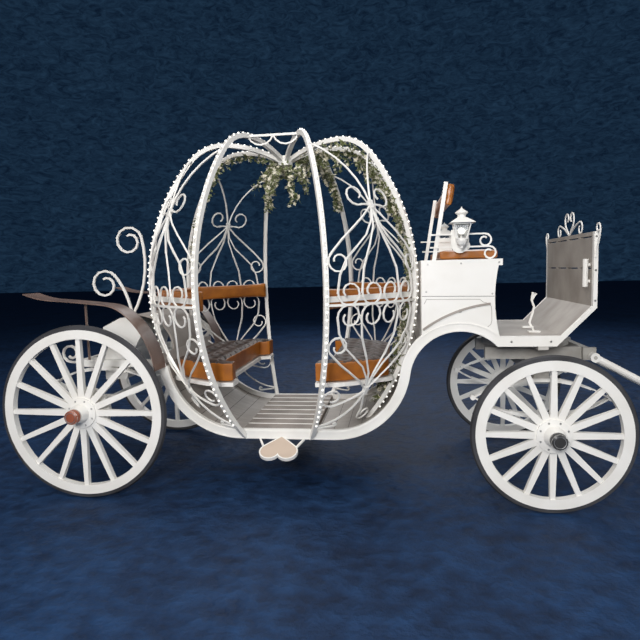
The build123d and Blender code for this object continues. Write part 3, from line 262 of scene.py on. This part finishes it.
def make_materials():
    """All materials by name. Each has a light and a dark shade."""
    taupe, taupe_dark = (0.44, 0.405, 0.37), (0.31, 0.28, 0.25)
    made = {}
    made["white_paint"] = paint("white_paint", (0.84, 0.825, 0.785), (0.78, 0.76, 0.71))
    made["shaft_paint"] = paint("shaft_paint", (0.82, 0.80, 0.76), (0.68, 0.65, 0.59))
    made["floor_paint"] = paint("floor_paint", (0.36, 0.325, 0.29), (0.26, 0.23, 0.20), 0.5)
    made["pan_rear"] = planks("pan_rear", taupe, taupe_dark, rear_bend)
    made["pan_front"] = planks("pan_front", taupe, taupe_dark, front_bend)
    made["fender_paint"] = paint("fender_paint", (0.20, 0.135, 0.11), (0.12, 0.08, 0.065), 0.34)
    made["step_paint"] = paint("step_paint", (0.55, 0.44, 0.35), (0.42, 0.33, 0.26), 0.6)
    made["iron"] = paint("iron", (0.40, 0.38, 0.345), (0.23, 0.21, 0.185), 0.5,
                         edge=(0.58, 0.56, 0.52))
    made["tyre_rubber"] = paint("tyre_rubber", (0.045, 0.045, 0.05), (0.02, 0.02, 0.022), 0.62)
    made["slat_wood"] = paint("slat_wood", (0.29, 0.25, 0.215), (0.17, 0.145, 0.125), 0.55)
    made["leather"] = leather("leather", (0.38, 0.125, 0.014), (0.17, 0.048, 0.006), 0.32)
    made["seat_top"] = leather("seat_top", (0.075, 0.050, 0.040), (0.016, 0.012, 0.010), 0.44,
                               180.0, 0.28)
    made["lamp_glass"] = glass("lamp_glass")
    made["bead"] = glow("bead", (1.0, 0.98, 0.92), 0.9)
    made["pinstripe"] = paint("pinstripe", (0.33, 0.30, 0.27), (0.26, 0.235, 0.21), 0.45)
    made["seam"] = paint("seam", (0.06, 0.055, 0.05), (0.03, 0.028, 0.025), 0.7)
    made["zinc"] = paint("zinc", (0.58, 0.57, 0.55), (0.36, 0.35, 0.33), 0.3)
    made["zinc"].node_tree.nodes["Principled BSDF"].inputs["Metallic"].default_value = 0.85
    made["cap_brown"] = paint("cap_brown", (0.33, 0.10, 0.055), (0.20, 0.055, 0.03), 0.3)
    made["cap_black"] = paint("cap_black", (0.05, 0.05, 0.05), (0.02, 0.02, 0.02), 0.28)
    made["leaf"] = paint("leaf", (0.19, 0.21, 0.085), (0.065, 0.09, 0.03), 0.5)
    made["petal"] = paint("petal", (0.78, 0.74, 0.60), (0.58, 0.53, 0.38), 0.6)
    made["vine"] = paint("vine", (0.10, 0.12, 0.05), (0.06, 0.06, 0.03), 0.7)
    return made


def dress_frame(materials):
    """Materials and soft edges for the frame's own solids."""
    slots = {part["node"]: part["material_slot"] for part in frame["record"]["subparts"]}
    own = {"rear_pan": "pan_rear", "front_pan": "pan_front", "rear_fenders": "fender_paint",
           "step_treads": "step_paint"}
    for name, piece in nodes.items():
        piece.data.materials.clear()
        piece.data.materials.append(materials[own.get(name, slots[name])])
        if "tyre" in name:
            continue
        bevel = piece.modifiers.new("soft_edges", "BEVEL")
        bevel.width = 0.0008 if name.startswith("cage") else 0.0012
        bevel.segments = 1
        bevel.limit_method = "ANGLE"
        bevel.angle_limit = math.radians(50)


# Pieces
def add_piece(name, mesh, body, slot, *materials):
    """A piece of the scene's own that rides on a body."""
    piece = bpy.data.objects.new(name, mesh)
    bpy.context.scene.collection.objects.link(piece)
    for material in materials:
        mesh.materials.append(material)
    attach(piece, body)
    return piece


def mesh_of(name, build):
    """A mesh that the function build fills."""
    shape = bmesh.new()
    build(shape)
    bmesh.ops.recalc_face_normals(shape, faces=shape.faces)
    mesh = bpy.data.meshes.new(name)
    shape.to_mesh(mesh)
    shape.free()
    return mesh


def smooth(mesh, degrees=40):
    """Smooth shading, apart from edges sharper than the angle."""
    for face in mesh.polygons:
        face.use_smooth = True
    mesh.set_sharp_from_angle(angle=math.radians(degrees))


def sweep(shape, path, normal_of, section, material=0):
    """A section carried along a path. Its points are (along the side, along the normal)."""
    rows = []
    for i, point in enumerate(path):
        ahead = path[min(i + 1, len(path) - 1)] - path[max(i - 1, 0)]
        up = normal_of(i).normalized()
        side = ahead.normalized().cross(up).normalized()
        rows.append([shape.verts.new(point + side * a + up * b) for a, b in section])
    count = len(section)
    for low, high in zip(rows, rows[1:]):
        for i in range(count):
            face = shape.faces.new((low[i], low[(i + 1) % count], high[(i + 1) % count], high[i]))
            face.material_index = material
    for row in (rows[0], rows[-1]):
        shape.faces.new(row).material_index = material


def round_section(radius, count, lift=0.0):
    """A round section for sweep, lifted off the path."""
    turns = [2 * math.pi * i / count for i in range(count)]
    return [(radius * math.cos(a), lift + radius * math.sin(a)) for a in turns]


def dome(shape, place, normal, radius, height, material=0, around=10):
    """A low round head on a surface."""
    up = normal.normalized()
    side = up.orthogonal().normalized()
    other = up.cross(side)
    rows = []
    for share, lift in ((1.0, 0.0), (0.96, 0.45), (0.66, 0.85)):
        row = []
        for i in range(around):
            turn = 2 * math.pi * i / around
            offset = (side * math.cos(turn) + other * math.sin(turn)) * radius * share
            row.append(shape.verts.new(place + offset + up * height * lift))
        rows.append(row)
    for low, high in zip(rows, rows[1:]):
        for i in range(around):
            face = shape.faces.new((low[i], low[(i + 1) % around], high[(i + 1) % around], high[i]))
            face.material_index = material
    shape.faces.new(rows[-1]).material_index = material
    shape.faces.new(rows[0]).material_index = material


# Cage ribs, repeated from the frame's dimensions: radius and height of the outer face
cage_x = 1.225
belly_radius, belly_z = 0.985, 1.335
crest_radius, crest_z = 0.420, 2.335
foot_half_width, rib_foot_z = 0.548, 0.370
belly_arc_ratio = 1.397
hub_radius, hub_drop = 0.026, 0.1
fall_reach = 0.34
rib_turns = {"door": 23.5, "end": 68.5}

# Rope lights: radii, and lifts off the rib
rope_radius, rope_lift = 0.0045, 0.003
bead_radius, bead_lift, bead_pitch = 0.0072, 0.004, 0.045


def rib_curve(foot_z, step=0.04):
    """Points (radius, height, outward slope) of a rib's outer face, from its foot to the hub."""
    foot_run = belly_radius - foot_half_width / math.cos(math.radians(rib_turns["door"]))
    foot_arc = ((belly_z - rib_foot_z) ** 2 + foot_run ** 2) / (2 * foot_run)
    rise = crest_z - belly_z
    belly_arc = belly_arc_ratio * rise
    belly_centre = belly_radius - belly_arc
    run = crest_radius - belly_centre
    turn = math.pi / 2 - 2 * math.atan((belly_arc - rise) / run)
    span = run / math.cos(turn)
    fall_arc = ((crest_radius - hub_radius) ** 2 + hub_drop ** 2) / (2 * hub_drop)
    fall_end = math.pi / 2 + math.asin(fall_reach / fall_arc)
    # centre's radius and height, arc's radius, first and last angle
    arcs = [
        (belly_radius - foot_arc, belly_z, foot_arc, -math.asin((belly_z - foot_z) / foot_arc), 0),
        (belly_centre, belly_z, belly_arc, 0, turn),
        (crest_radius, belly_z + span * math.sin(turn), belly_arc - span, turn, math.pi / 2),
        (crest_radius, crest_z - fall_arc, fall_arc, math.pi / 2, fall_end),
    ]
    points = []
    for centre_r, centre_z, radius, start, end in arcs:
        count = max(2, round(radius * (end - start) / step))
        for i in range(count):
            a = start + (end - start) * i / count
            points.append((centre_r + radius * math.cos(a), centre_z + radius * math.sin(a), a))
    return points


def rib_path(end, side, kind, foot_z, depth=0.0, step=0.04):
    """A rib's line with its outward directions: end is 1 for the front, side 1 for the left."""
    turn = math.radians(rib_turns[kind])
    out = Vector((end * math.sin(turn), side * math.cos(turn), 0))
    path, ways = [], []
    for radius, z, a in rib_curve(foot_z, step):
        way = out * math.cos(a) + Vector((0, 0, math.sin(a)))
        path.append(at(cage_x, 0, z) + out * radius - way * depth)
        ways.append(way)
    return path, ways


def rope_lights(materials):
    """A clear rope light with a bead every few centimetres along the outer face of each rib."""
    # lowest height by the cage's end and the rib
    feet = {(-1, "door"): 0.46, (1, "door"): 0.46, (-1, "end"): 0.72, (1, "end"): 0.50}

    def rope(shape, end, side, kind):
        path, ways = rib_path(end, side, kind, feet[end, kind], step=bead_pitch)
        sweep(shape, path, lambda i: ways[i], round_section(rope_radius, 6, rope_lift), 0)
        for point, way in zip(path, ways):
            made = bmesh.ops.create_icosphere(shape, subdivisions=1, radius=bead_radius,
                                              matrix=Matrix.Translation(point + way * bead_lift))
            for vert in made["verts"]:
                for face in vert.link_faces:
                    face.material_index = 1

    def build(shape):
        for end in (-1, 1):
            for side in (-1, 1):
                for kind in ("door", "end"):
                    rope(shape, end, side, kind)
    mesh = mesh_of("rope_lights", build)
    smooth(mesh)
    add_piece("rope_lights", mesh, "carriage", "lamp_glass", materials["lamp_glass"],
              materials["bead"])


def leaf_card(shape, place, way, up, length, width):
    """A folded leaf of four faces."""
    side = way.cross(up).normalized()
    fold = up * width * 0.22
    root = shape.verts.new(place)
    tip = shape.verts.new(place + way * length - up * length * 0.18)
    mid = shape.verts.new(place + way * length * 0.45)
    left = shape.verts.new(place + way * length * 0.4 + side * width / 2 + fold)
    right = shape.verts.new(place + way * length * 0.4 - side * width / 2 + fold)
    for corners in ((root, mid, left), (mid, tip, left), (root, right, mid), (mid, right, tip)):
        shape.faces.new(corners)


def any_way(spread=1.0):
    """A seeded random direction."""
    way = Vector((random.uniform(-1, 1), random.uniform(-1, 1), random.uniform(-1, 1) * spread))
    return way.normalized() if way.length > 0.05 else Vector((0, 0, 1))


def blossom(shape, place, facing, radius):
    """Five pointed petals round a small heart."""
    side = facing.orthogonal().normalized()
    for i in range(5):
        way = Matrix.Rotation(i * math.radians(72), 3, facing) @ side
        leaf_card(shape, place, (way + facing * 0.35).normalized(), facing, radius, radius * 0.6)


def garland(materials):
    """A vine tied under the far ribs, with leaves, blossoms and short hanging ends."""
    # end of the cage, side, rib, lowest height, leaves to the metre
    table = [
        (-1, 1, "end", 1.45, 170),
        (-1, 1, "door", 2.00, 330),
        (1, 1, "door", 1.98, 330),
        (1, 1, "end", 1.32, 330),
        (1, -1, "end", 2.02, 120),
    ]
    lines = []

    def sway(p):
        return Vector((noise.noise(p * 9.0), noise.noise(p * 9.0 + Vector((5, 0, 0))), 0)) * 0.012

    for end, side, kind, low, density in table:
        path, ways = rib_path(end, side, kind, 0.5, depth=0.046, step=0.05)
        path = [p + sway(p) for p in path if p.z > low or p.xy.length < 0.4]
        lines.append((path, density))
    for path, density in lines[1:4]:
        for i in range(0, len(path), 2):
            drop = Vector((0.02, 0, -0.06 - 0.035 * (i % 3)))
            if path[i].z > 1.75:
                lines.append(([path[i] + drop * s for s in (0, 0.35, 0.7, 1.0)], 260))
    hub = at(cage_x, 0, 2.17)
    for i in range(9):
        turn = math.radians(40 * i + 12)
        out = Vector((math.cos(turn), math.sin(turn), 0))
        start = hub + out * (0.05 + 0.02 * (i % 3))
        reach = out * (0.10 + 0.05 * (i % 4))
        drop = Vector((0, 0, -0.12 - 0.05 * ((i * 5) % 4)))
        shares = (0, 0.2, 0.4, 0.6, 0.8, 1.0)
        lines.append(([start + reach * s + drop * s * s for s in shares], 150))

    def vines(shape):
        for path, _ in lines:
            sweep(shape, path, lambda i: Vector((0.3, 0.2, 1)), round_section(0.003, 4))

    def leaves(shape):
        for path, density in lines:
            for a, b in zip(path, path[1:]):
                for i in range(round((b - a).length * density)):
                    place = a.lerp(b, random.random()) + any_way() * random.uniform(0, 0.032)
                    leaf_card(shape, place, any_way(0.8), any_way(), random.uniform(0.026, 0.046),
                              random.uniform(0.014, 0.024))

    def petals(shape):
        for path, density in lines:
            for a, b in zip(path, path[1:]):
                for i in range(round((b - a).length * density * 0.42)):
                    place = a.lerp(b, random.random()) + any_way() * random.uniform(0.012, 0.036)
                    blossom(shape, place, any_way(), random.uniform(0.014, 0.023))
    for name, build, look in (("garland_vine", vines, "vine"), ("garland_leaves", leaves, "leaf"),
                              ("garland_blossoms", petals, "petal")):
        add_piece(name, mesh_of(name, build), "carriage", "slat_wood", materials[look])


# Padding. Buttons stand in a grid, each in a dip, with folds between them
button_pitch, button_dip, button_reach = 0.125, 0.020, 0.026
fold_dip, fold_width = 0.006, 0.012
cloth_frames = 20


def applied(piece):
    """The piece's mesh with its modifiers worked in."""
    graph = bpy.context.evaluated_depsgraph_get()
    mesh = bpy.data.meshes.new_from_object(piece.evaluated_get(graph))
    old = piece.data
    piece.modifiers.clear()
    piece.data = mesh
    bpy.data.meshes.remove(old)


def remeshed(name, node, voxel, shrink):
    """A node's solid as an even mesh, a little smaller all round."""
    piece = bpy.data.objects.new(name, nodes[node].data.copy())
    bpy.context.scene.collection.objects.link(piece)
    piece.data.materials.clear()
    grid = piece.modifiers.new("grid", "REMESH")
    grid.mode = "VOXEL"
    grid.voxel_size = voxel
    soften = piece.modifiers.new("soften", "SMOOTH")
    soften.factor = 0.5
    soften.iterations = 5
    applied(piece)
    normals = [v.normal.copy() for v in piece.data.vertices]
    for vert, normal in zip(piece.data.vertices, normals):
        vert.co -= normal * shrink
    return piece


def puffed(piece, pressure, cap):
    """Cloth blown up from inside, no point further than cap from its start."""
    start = [v.co.copy() for v in piece.data.vertices]
    cloth = piece.modifiers.new("cloth", "CLOTH")
    cloth.settings.quality = 4
    cloth.settings.mass = 0.3
    cloth.settings.tension_stiffness = 14
    cloth.settings.compression_stiffness = 14
    cloth.settings.bending_stiffness = 0.6
    cloth.settings.use_pressure = True
    cloth.settings.uniform_pressure_force = pressure
    cloth.settings.effector_weights.gravity = 0
    cloth.collision_settings.use_collision = False
    scene = bpy.context.scene
    for step in range(1, cloth_frames + 1):
        scene.frame_set(step)
    applied(piece)
    scene.frame_set(1)
    for vert, first in zip(piece.data.vertices, start):
        move = vert.co - first
        if move.length > cap:
            vert.co = first + move * (cap / move.length)


def subdivided(piece):
    """The piece's mesh, once finer and rounder."""
    finer = piece.modifiers.new("finer", "SUBSURF")
    finer.levels = finer.render_levels = 1
    applied(piece)


def tufts(low, high, pitch):
    """Button places in a staggered grid, inside a plan box."""
    rows = max(1, round((high.x - low.x) / pitch))
    columns = max(1, round((high.y - low.y) / pitch))
    places = []
    for i in range(rows):
        for j in range(columns + (i % 2)):
            x = low.x + (i + 0.5) * (high.x - low.x) / rows
            y = low.y + (j + 0.5 - 0.5 * (i % 2)) * (high.y - low.y) / columns
            places.append(Vector((x, y)))
    return places


def seat_cushion(node, materials):
    """A buttoned seat cushion: dark worn top, amber sides."""
    low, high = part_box(node)
    piece = remeshed(node + "_leather", node, 0.011, 0.009)
    puffed(piece, 4.0, 0.012)
    subdivided(piece)
    buttons = tufts(low, high, button_pitch)
    dips = []
    for vert in piece.data.vertices:
        flat = vert.co.xy
        near = sorted((flat - p).length for p in buttons)[:2]
        up = max(0.0, vert.normal.z)
        dip = button_dip * math.exp(-(near[0] / button_reach) ** 2)
        dip += fold_dip * math.exp(-((near[1] - near[0]) / fold_width) ** 2)
        dips.append((dip - 0.004 * noise.noise(vert.co * 14.0)) * up ** 2)
    for vert, dip in zip(piece.data.vertices, dips):
        vert.co.z = max(low.z + 0.0005, min(high.z + 0.006, vert.co.z - dip))
        vert.co.x = max(low.x - 0.004, min(high.x + 0.004, vert.co.x))
    for look in ("leather", "seat_top"):
        piece.data.materials.append(materials[look])
    for face in piece.data.polygons:
        face.use_smooth = True
        if face.normal.z > 0.72 and face.center.z > high.z - 0.045:
            face.material_index = 1
    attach(piece, "carriage")
    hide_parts(node)

    def studs(shape):
        for p in buttons:
            close = min(piece.data.vertices, key=lambda v: (v.co.xy - p).length - v.co.z)
            if (close.co.xy - p).length < 0.02 and close.co.z > high.z - 0.05:
                dome(shape, Vector((p.x, p.y, close.co.z - 0.002)), Vector((0, 0, 1)), 0.010, 0.006)
    mesh = mesh_of(node + "_buttons", studs)
    smooth(mesh)
    add_piece(node + "_buttons", mesh, "carriage", "leather", materials["seat_top"])


def plain_pad(node, materials, voxel, shrink, cap):
    """An amber pad with soft edges."""
    low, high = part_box(node)
    piece = remeshed(node + "_leather", node, voxel, shrink)
    puffed(piece, 4.0, cap)
    subdivided(piece)
    moves = [vert.normal * 0.0012 * noise.noise(vert.co * 22.0) for vert in piece.data.vertices]
    for vert, move in zip(piece.data.vertices, moves):
        vert.co += move
        vert.co.z = max(low.z, min(high.z + 0.004, vert.co.z))
    for face in piece.data.polygons:
        face.use_smooth = True
    piece.data.materials.append(materials["leather"])
    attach(piece, "carriage")
    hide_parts(node)


# Trim
def side_line(inset):
    """Points along the side frame's lower edge, moved inwards by inset, from the rear on."""
    points = []
    # centre ahead of the axle, its height, radius, first and last angle
    table = [
        (*rear_bend, 0.567 - inset, 187, 270),
        (*front_bend, 0.500 - inset, 270, 352.3),
        (2.395, 0.730, 0.310 + inset, 172.3, 52),
    ]
    for x, z, radius, start, end in table:
        for i in range(25):
            a = math.radians(start + (end - start) * i / 24)
            points.append((x + radius * math.cos(a), z + radius * math.sin(a)))
    return points


def ribbon(shape, points, y, side, width, height, material=0):
    """A thin raised line on a side's outer face, through (X, Z) points."""
    path = [at(x, side * y, z) for x, z in points]
    section = [(-width / 2, 0), (-width / 2, height), (width / 2, height), (width / 2, 0)]
    sweep(shape, path, lambda i: Vector((0, side, 0)), section, material)


def box_trim(materials):
    """Pinstripes, the panel seam, a stud and bolts on each side of the driver's box."""
    stripes = [
        [(2.190, 1.243), (2.350, 1.241), (2.512, 1.238)],
        [(2.190, 1.243), (2.184, 1.228), (2.176, 1.214)],
        [(2.512, 1.238), (2.530, 1.222), (2.558, 1.214), (2.578, 1.196), (2.582, 1.172)],
        [(2.582, 1.172), (2.583, 1.105)],
        [(2.583, 1.105), (2.576, 1.082), (2.558, 1.068)],
    ]
    seam = [(2.164, 1.262), (2.598, 1.256)]
    # places of the stud and the bolts, radius, height
    heads = [
        ([(2.393, 1.168)], 0.012, 0.006),
        ([(2.625, 1.462), (2.586, 1.272), (2.20, 1.458), (2.19, 1.29), (2.40, 1.46)], 0.006, 0.003),
        ([(3.178, 1.60), (3.178, 1.40), (3.178, 1.22), (2.70, 0.975), (2.93, 0.975)], 0.007, 0.004),
    ]

    def build(shape):
        for side in (-1, 1):
            for line in stripes:
                ribbon(shape, line, side_face + 0.0002, side, 0.003, 0.0006)
            ribbon(shape, seam, side_face + 0.0002, side, 0.003, 0.0004, 1)
            for places, radius, height in heads:
                for x, z in places:
                    dome(shape, at(x, side * side_face, z), Vector((0, side, 0)), radius, height, 2)
    mesh = mesh_of("box_trim", build)
    smooth(mesh, 30)
    add_piece("box_trim", mesh, "carriage", "floor_paint", materials["pinstripe"],
              materials["seam"], materials["zinc"])


def frame_beads(materials):
    """Two raised beads along each side frame."""
    def build(shape):
        for side in (-1, 1):
            for inset in (0.006, 0.052):
                ribbon(shape, side_line(inset), side_face - 0.0005, side, 0.007, 0.004)
    mesh = mesh_of("frame_beads", build)
    smooth(mesh, 30)
    add_piece("frame_beads", mesh, "carriage", "white_paint", materials["white_paint"])


def floor_battens(materials):
    """White battens in the gaps between the floor's slats, just proud of them."""
    low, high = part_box("entry_floor")
    slats = 8
    gap = 0.014
    foot_z = 0.389
    pitch = (high.y - low.y + gap) / slats

    def build(shape):
        section = [(-0.0066, 0), (-0.0066, 0.012), (0, 0.014), (0.0066, 0.012), (0.0066, 0)]
        for i in range(1, slats):
            y = low.y + i * pitch - gap / 2
            path = [Vector((x, y, foot_z)) for x in (low.x + 0.002, high.x - 0.002)]
            sweep(shape, path, lambda k: Vector((0, 0, 1)), section)
    add_piece("floor_battens", mesh_of("floor_battens", build), "carriage", "white_paint",
              materials["white_paint"])


def ring_rows(shape, rows):
    """Faces between rings of points, with each face's material from the row it starts in."""
    for (low, look), (high, _) in zip(rows, rows[1:]):
        count = len(low)
        for i in range(count):
            face = shape.faces.new((low[i], low[(i + 1) % count], high[(i + 1) % count], high[i]))
            face.material_index = look


def hub_dress(materials):
    """A turned cap and a ring of bolts on each hub."""
    # radius and |Y| down the cap, material
    profile = [
        (0.0455, 0.848, 0),
        (0.0462, 0.852, 1),
        (0.0462, 0.858, 0),
        (0.0450, 0.861, 0),
        (0.0450, 0.884, 0),
        (0.0425, 0.891, 0),
        (0.0340, 0.896, 1),
        (0.0300, 0.895, 0),
        (0.0280, 0.897, 0),
        (0.0120, 0.8985, 0),
    ]
    around = 28
    bolt_circle, flange_face = 0.081, 0.779
    for end, x, look in (("rear", 0, "cap_brown"),
                         ("front", front_axle_x - rear_axle_x, "cap_black")):
        radius = wheel_radii[end]
        for side_name, side in (("right", -1), ("left", 1)):
            body = f"{end}_{side_name}_wheel_set"

            def ring(r, y, count, first=0.0):
                turns = [2 * math.pi * (i + first) / count for i in range(count)]
                return [at(x + r * math.cos(a), side * y, radius + r * math.sin(a)) for a in turns]

            def cap(shape):
                rows = [([shape.verts.new(p) for p in ring(r, y, around)], k) for r, y, k in profile]
                ring_rows(shape, rows)
                shape.faces.new(rows[-1][0])

            def bolts(shape):
                for place in ring(bolt_circle, flange_face, 8, 0.5):
                    dome(shape, place, Vector((0, side, 0)), 0.008, 0.006, 0, 6)
            mesh = mesh_of(f"{end}_{side_name}_cap", cap)
            smooth(mesh, 35)
            add_piece(f"{end}_{side_name}_cap", mesh, body, "iron", materials[look],
                      materials["zinc"])
            mesh = mesh_of(f"{end}_{side_name}_bolts", bolts)
            add_piece(f"{end}_{side_name}_bolts", mesh, body, "iron", materials["zinc"])


def lamp_bulbs(materials):
    """A globe on a small holder in each lantern."""
    low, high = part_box("lamp_glass")
    globe_z, globe_radius = 1.650, 0.021
    # holder's radius and height from the globe's centre
    holder = [(0.016, -0.047), (0.016, -0.030), (0.012, -0.024), (0.010, -0.014)]
    turns = [i * math.pi / 8 for i in range(16)]

    def build(shape):
        for side in (-1, 1):
            centre = Vector(((low.x + high.x) / 2, side * (high.y - (high.x - low.x) / 2), globe_z))
            bmesh.ops.create_uvsphere(shape, u_segments=20, v_segments=12, radius=globe_radius,
                                      matrix=Matrix.Translation(centre))
            rows = []
            for r, z in holder:
                points = [centre + Vector((r * math.cos(a), r * math.sin(a), z)) for a in turns]
                rows.append(([shape.verts.new(p) for p in points], 1))
            ring_rows(shape, rows)
            shape.faces.new(rows[0][0]).material_index = 1
    mesh = mesh_of("lamp_bulbs", build)
    smooth(mesh, 50)
    add_piece("lamp_bulbs", mesh, "carriage", "lamp_glass", materials["bead"], materials["zinc"])


# Floor, light and sky
def make_stage():
    """A floor of creased blue sheet, darker in its creases' hollows as painted shade."""
    size = 40.0
    mesh = bpy.data.meshes.new("floor")
    corners = [(-size, -size, 0), (size, -size, 0), (size, size, 0), (-size, size, 0)]
    mesh.from_pydata(corners, [], [(0, 1, 2, 3)])
    floor = bpy.data.objects.new("floor", mesh)
    bpy.context.scene.collection.objects.link(floor)
    material, tree, shader = new_material("floor")
    creases = noise_value(tree, 9.0, 9.0)
    wide = noise_value(tree, 1.6, 4.0)
    relief_and_painted_shade = sums(tree, "ADD", sums(tree, "MULTIPLY", creases, 0.6),
                sums(tree, "MULTIPLY", wide, 0.4))
    # Painted shade: the colour follows the relief, darker in the creases' hollows and lighter on
    # their crests as painted light.
    tree.links.new(ramp(tree, relief_and_painted_shade, [(0.38, (0.004, 0.015, 0.045)), (0.62, (0.011, 0.040, 0.110))]),
                   shader.inputs["Base Color"])
    roughen(tree, shader, creases, 0.58, 0.75)
    shader.inputs["Specular IOR Level"].default_value = 0.25
    bump(tree, shader, relief_and_painted_shade, 1.0, 0.06)
    mesh.materials.append(material)


def make_sky():
    """A dark blue background with the painted light and shade of a hanging sheet's creases."""
    world = bpy.data.worlds.new("sky")
    bpy.context.scene.world = world
    world.use_nodes = True
    tree = world.node_tree
    back = tree.nodes["Background"]
    place = tree.nodes.new("ShaderNodeTexCoord")
    texture = tree.nodes.new("ShaderNodeTexNoise")
    texture.inputs["Scale"].default_value = 70.0
    texture.inputs["Detail"].default_value = 12.0
    texture.inputs["Roughness"].default_value = 0.72
    texture.inputs["Distortion"].default_value = 1.4
    stretch = tree.nodes.new("ShaderNodeMapping")
    stretch.inputs["Scale"].default_value = (0.7, 0.7, 1.6)
    tree.links.new(place.outputs["Generated"], stretch.inputs["Vector"])
    tree.links.new(stretch.outputs["Vector"], texture.inputs["Vector"])
    # Painted light and shade: the sheet's creases are lighter and darker bands in the background
    # colour.
    shade = ramp(tree, texture.outputs["Fac"],
                 [(0.36, (0.0035, 0.010, 0.024)), (0.70, (0.014, 0.036, 0.070))])
    tree.links.new(shade, back.inputs["Color"])
    back.inputs["Strength"].default_value = 1.0


def make_lamps():
    """A small flash near the camera and soft lamps all round."""
    plain, warm = (1.0, 1.0, 1.0), (1.0, 0.93, 0.87)
    # name, place, target, size, watts, colour
    table = [
        ("flash", (-0.8, -6.0, 2.6), (0.0, 0.0, 1.0), 1.2, 225.0, plain),
        ("key", (-3.5, -6.0, 6.5), (0.0, 0.0, 0.8), 4.0, 285.0, warm),
        ("fill", (6.5, -4.5, 4.0), (0.5, 0.0, 0.8), 5.0, 200.0, plain),
        ("back", (0.0, 7.0, 6.0), (0.0, 0.0, 1.0), 6.0, 290.0, plain),
        ("top", (0.0, 0.0, 7.5), (0.0, 0.0, 0.0), 6.0, 130.0, plain),
    ]
    for name, place, target, size, watts, colour in table:
        data = bpy.data.lights.new(name, "AREA")
        data.size = size
        data.energy = watts
        data.color = colour
        lamp = bpy.data.objects.new(name, data)
        lamp.location = place
        lamp.rotation_mode = "QUATERNION"
        lamp.rotation_quaternion = (Vector(place) - Vector(target)).to_track_quat("Z", "Y")
        bpy.context.scene.collection.objects.link(lamp)


make_camera()
materials = make_materials()
dress_frame(materials)
for node in ("rear_seat_cushion", "front_seat_cushion"):
    seat_cushion(node, materials)
for node in ("rear_back_pad", "front_back_pad"):
    plain_pad(node, materials, 0.011, 0.007, 0.009)
plain_pad("driver_cushion", materials, 0.010, 0.007, 0.010)
plain_pad("driver_back_pad", materials, 0.009, 0.005, 0.007)
rope_lights(materials)
garland(materials)
box_trim(materials)
frame_beads(materials)
floor_battens(materials)
hub_dress(materials)
lamp_bulbs(materials)
make_stage()
make_sky()
make_lamps()
bpy.context.scene.view_settings.view_transform = "Standard"
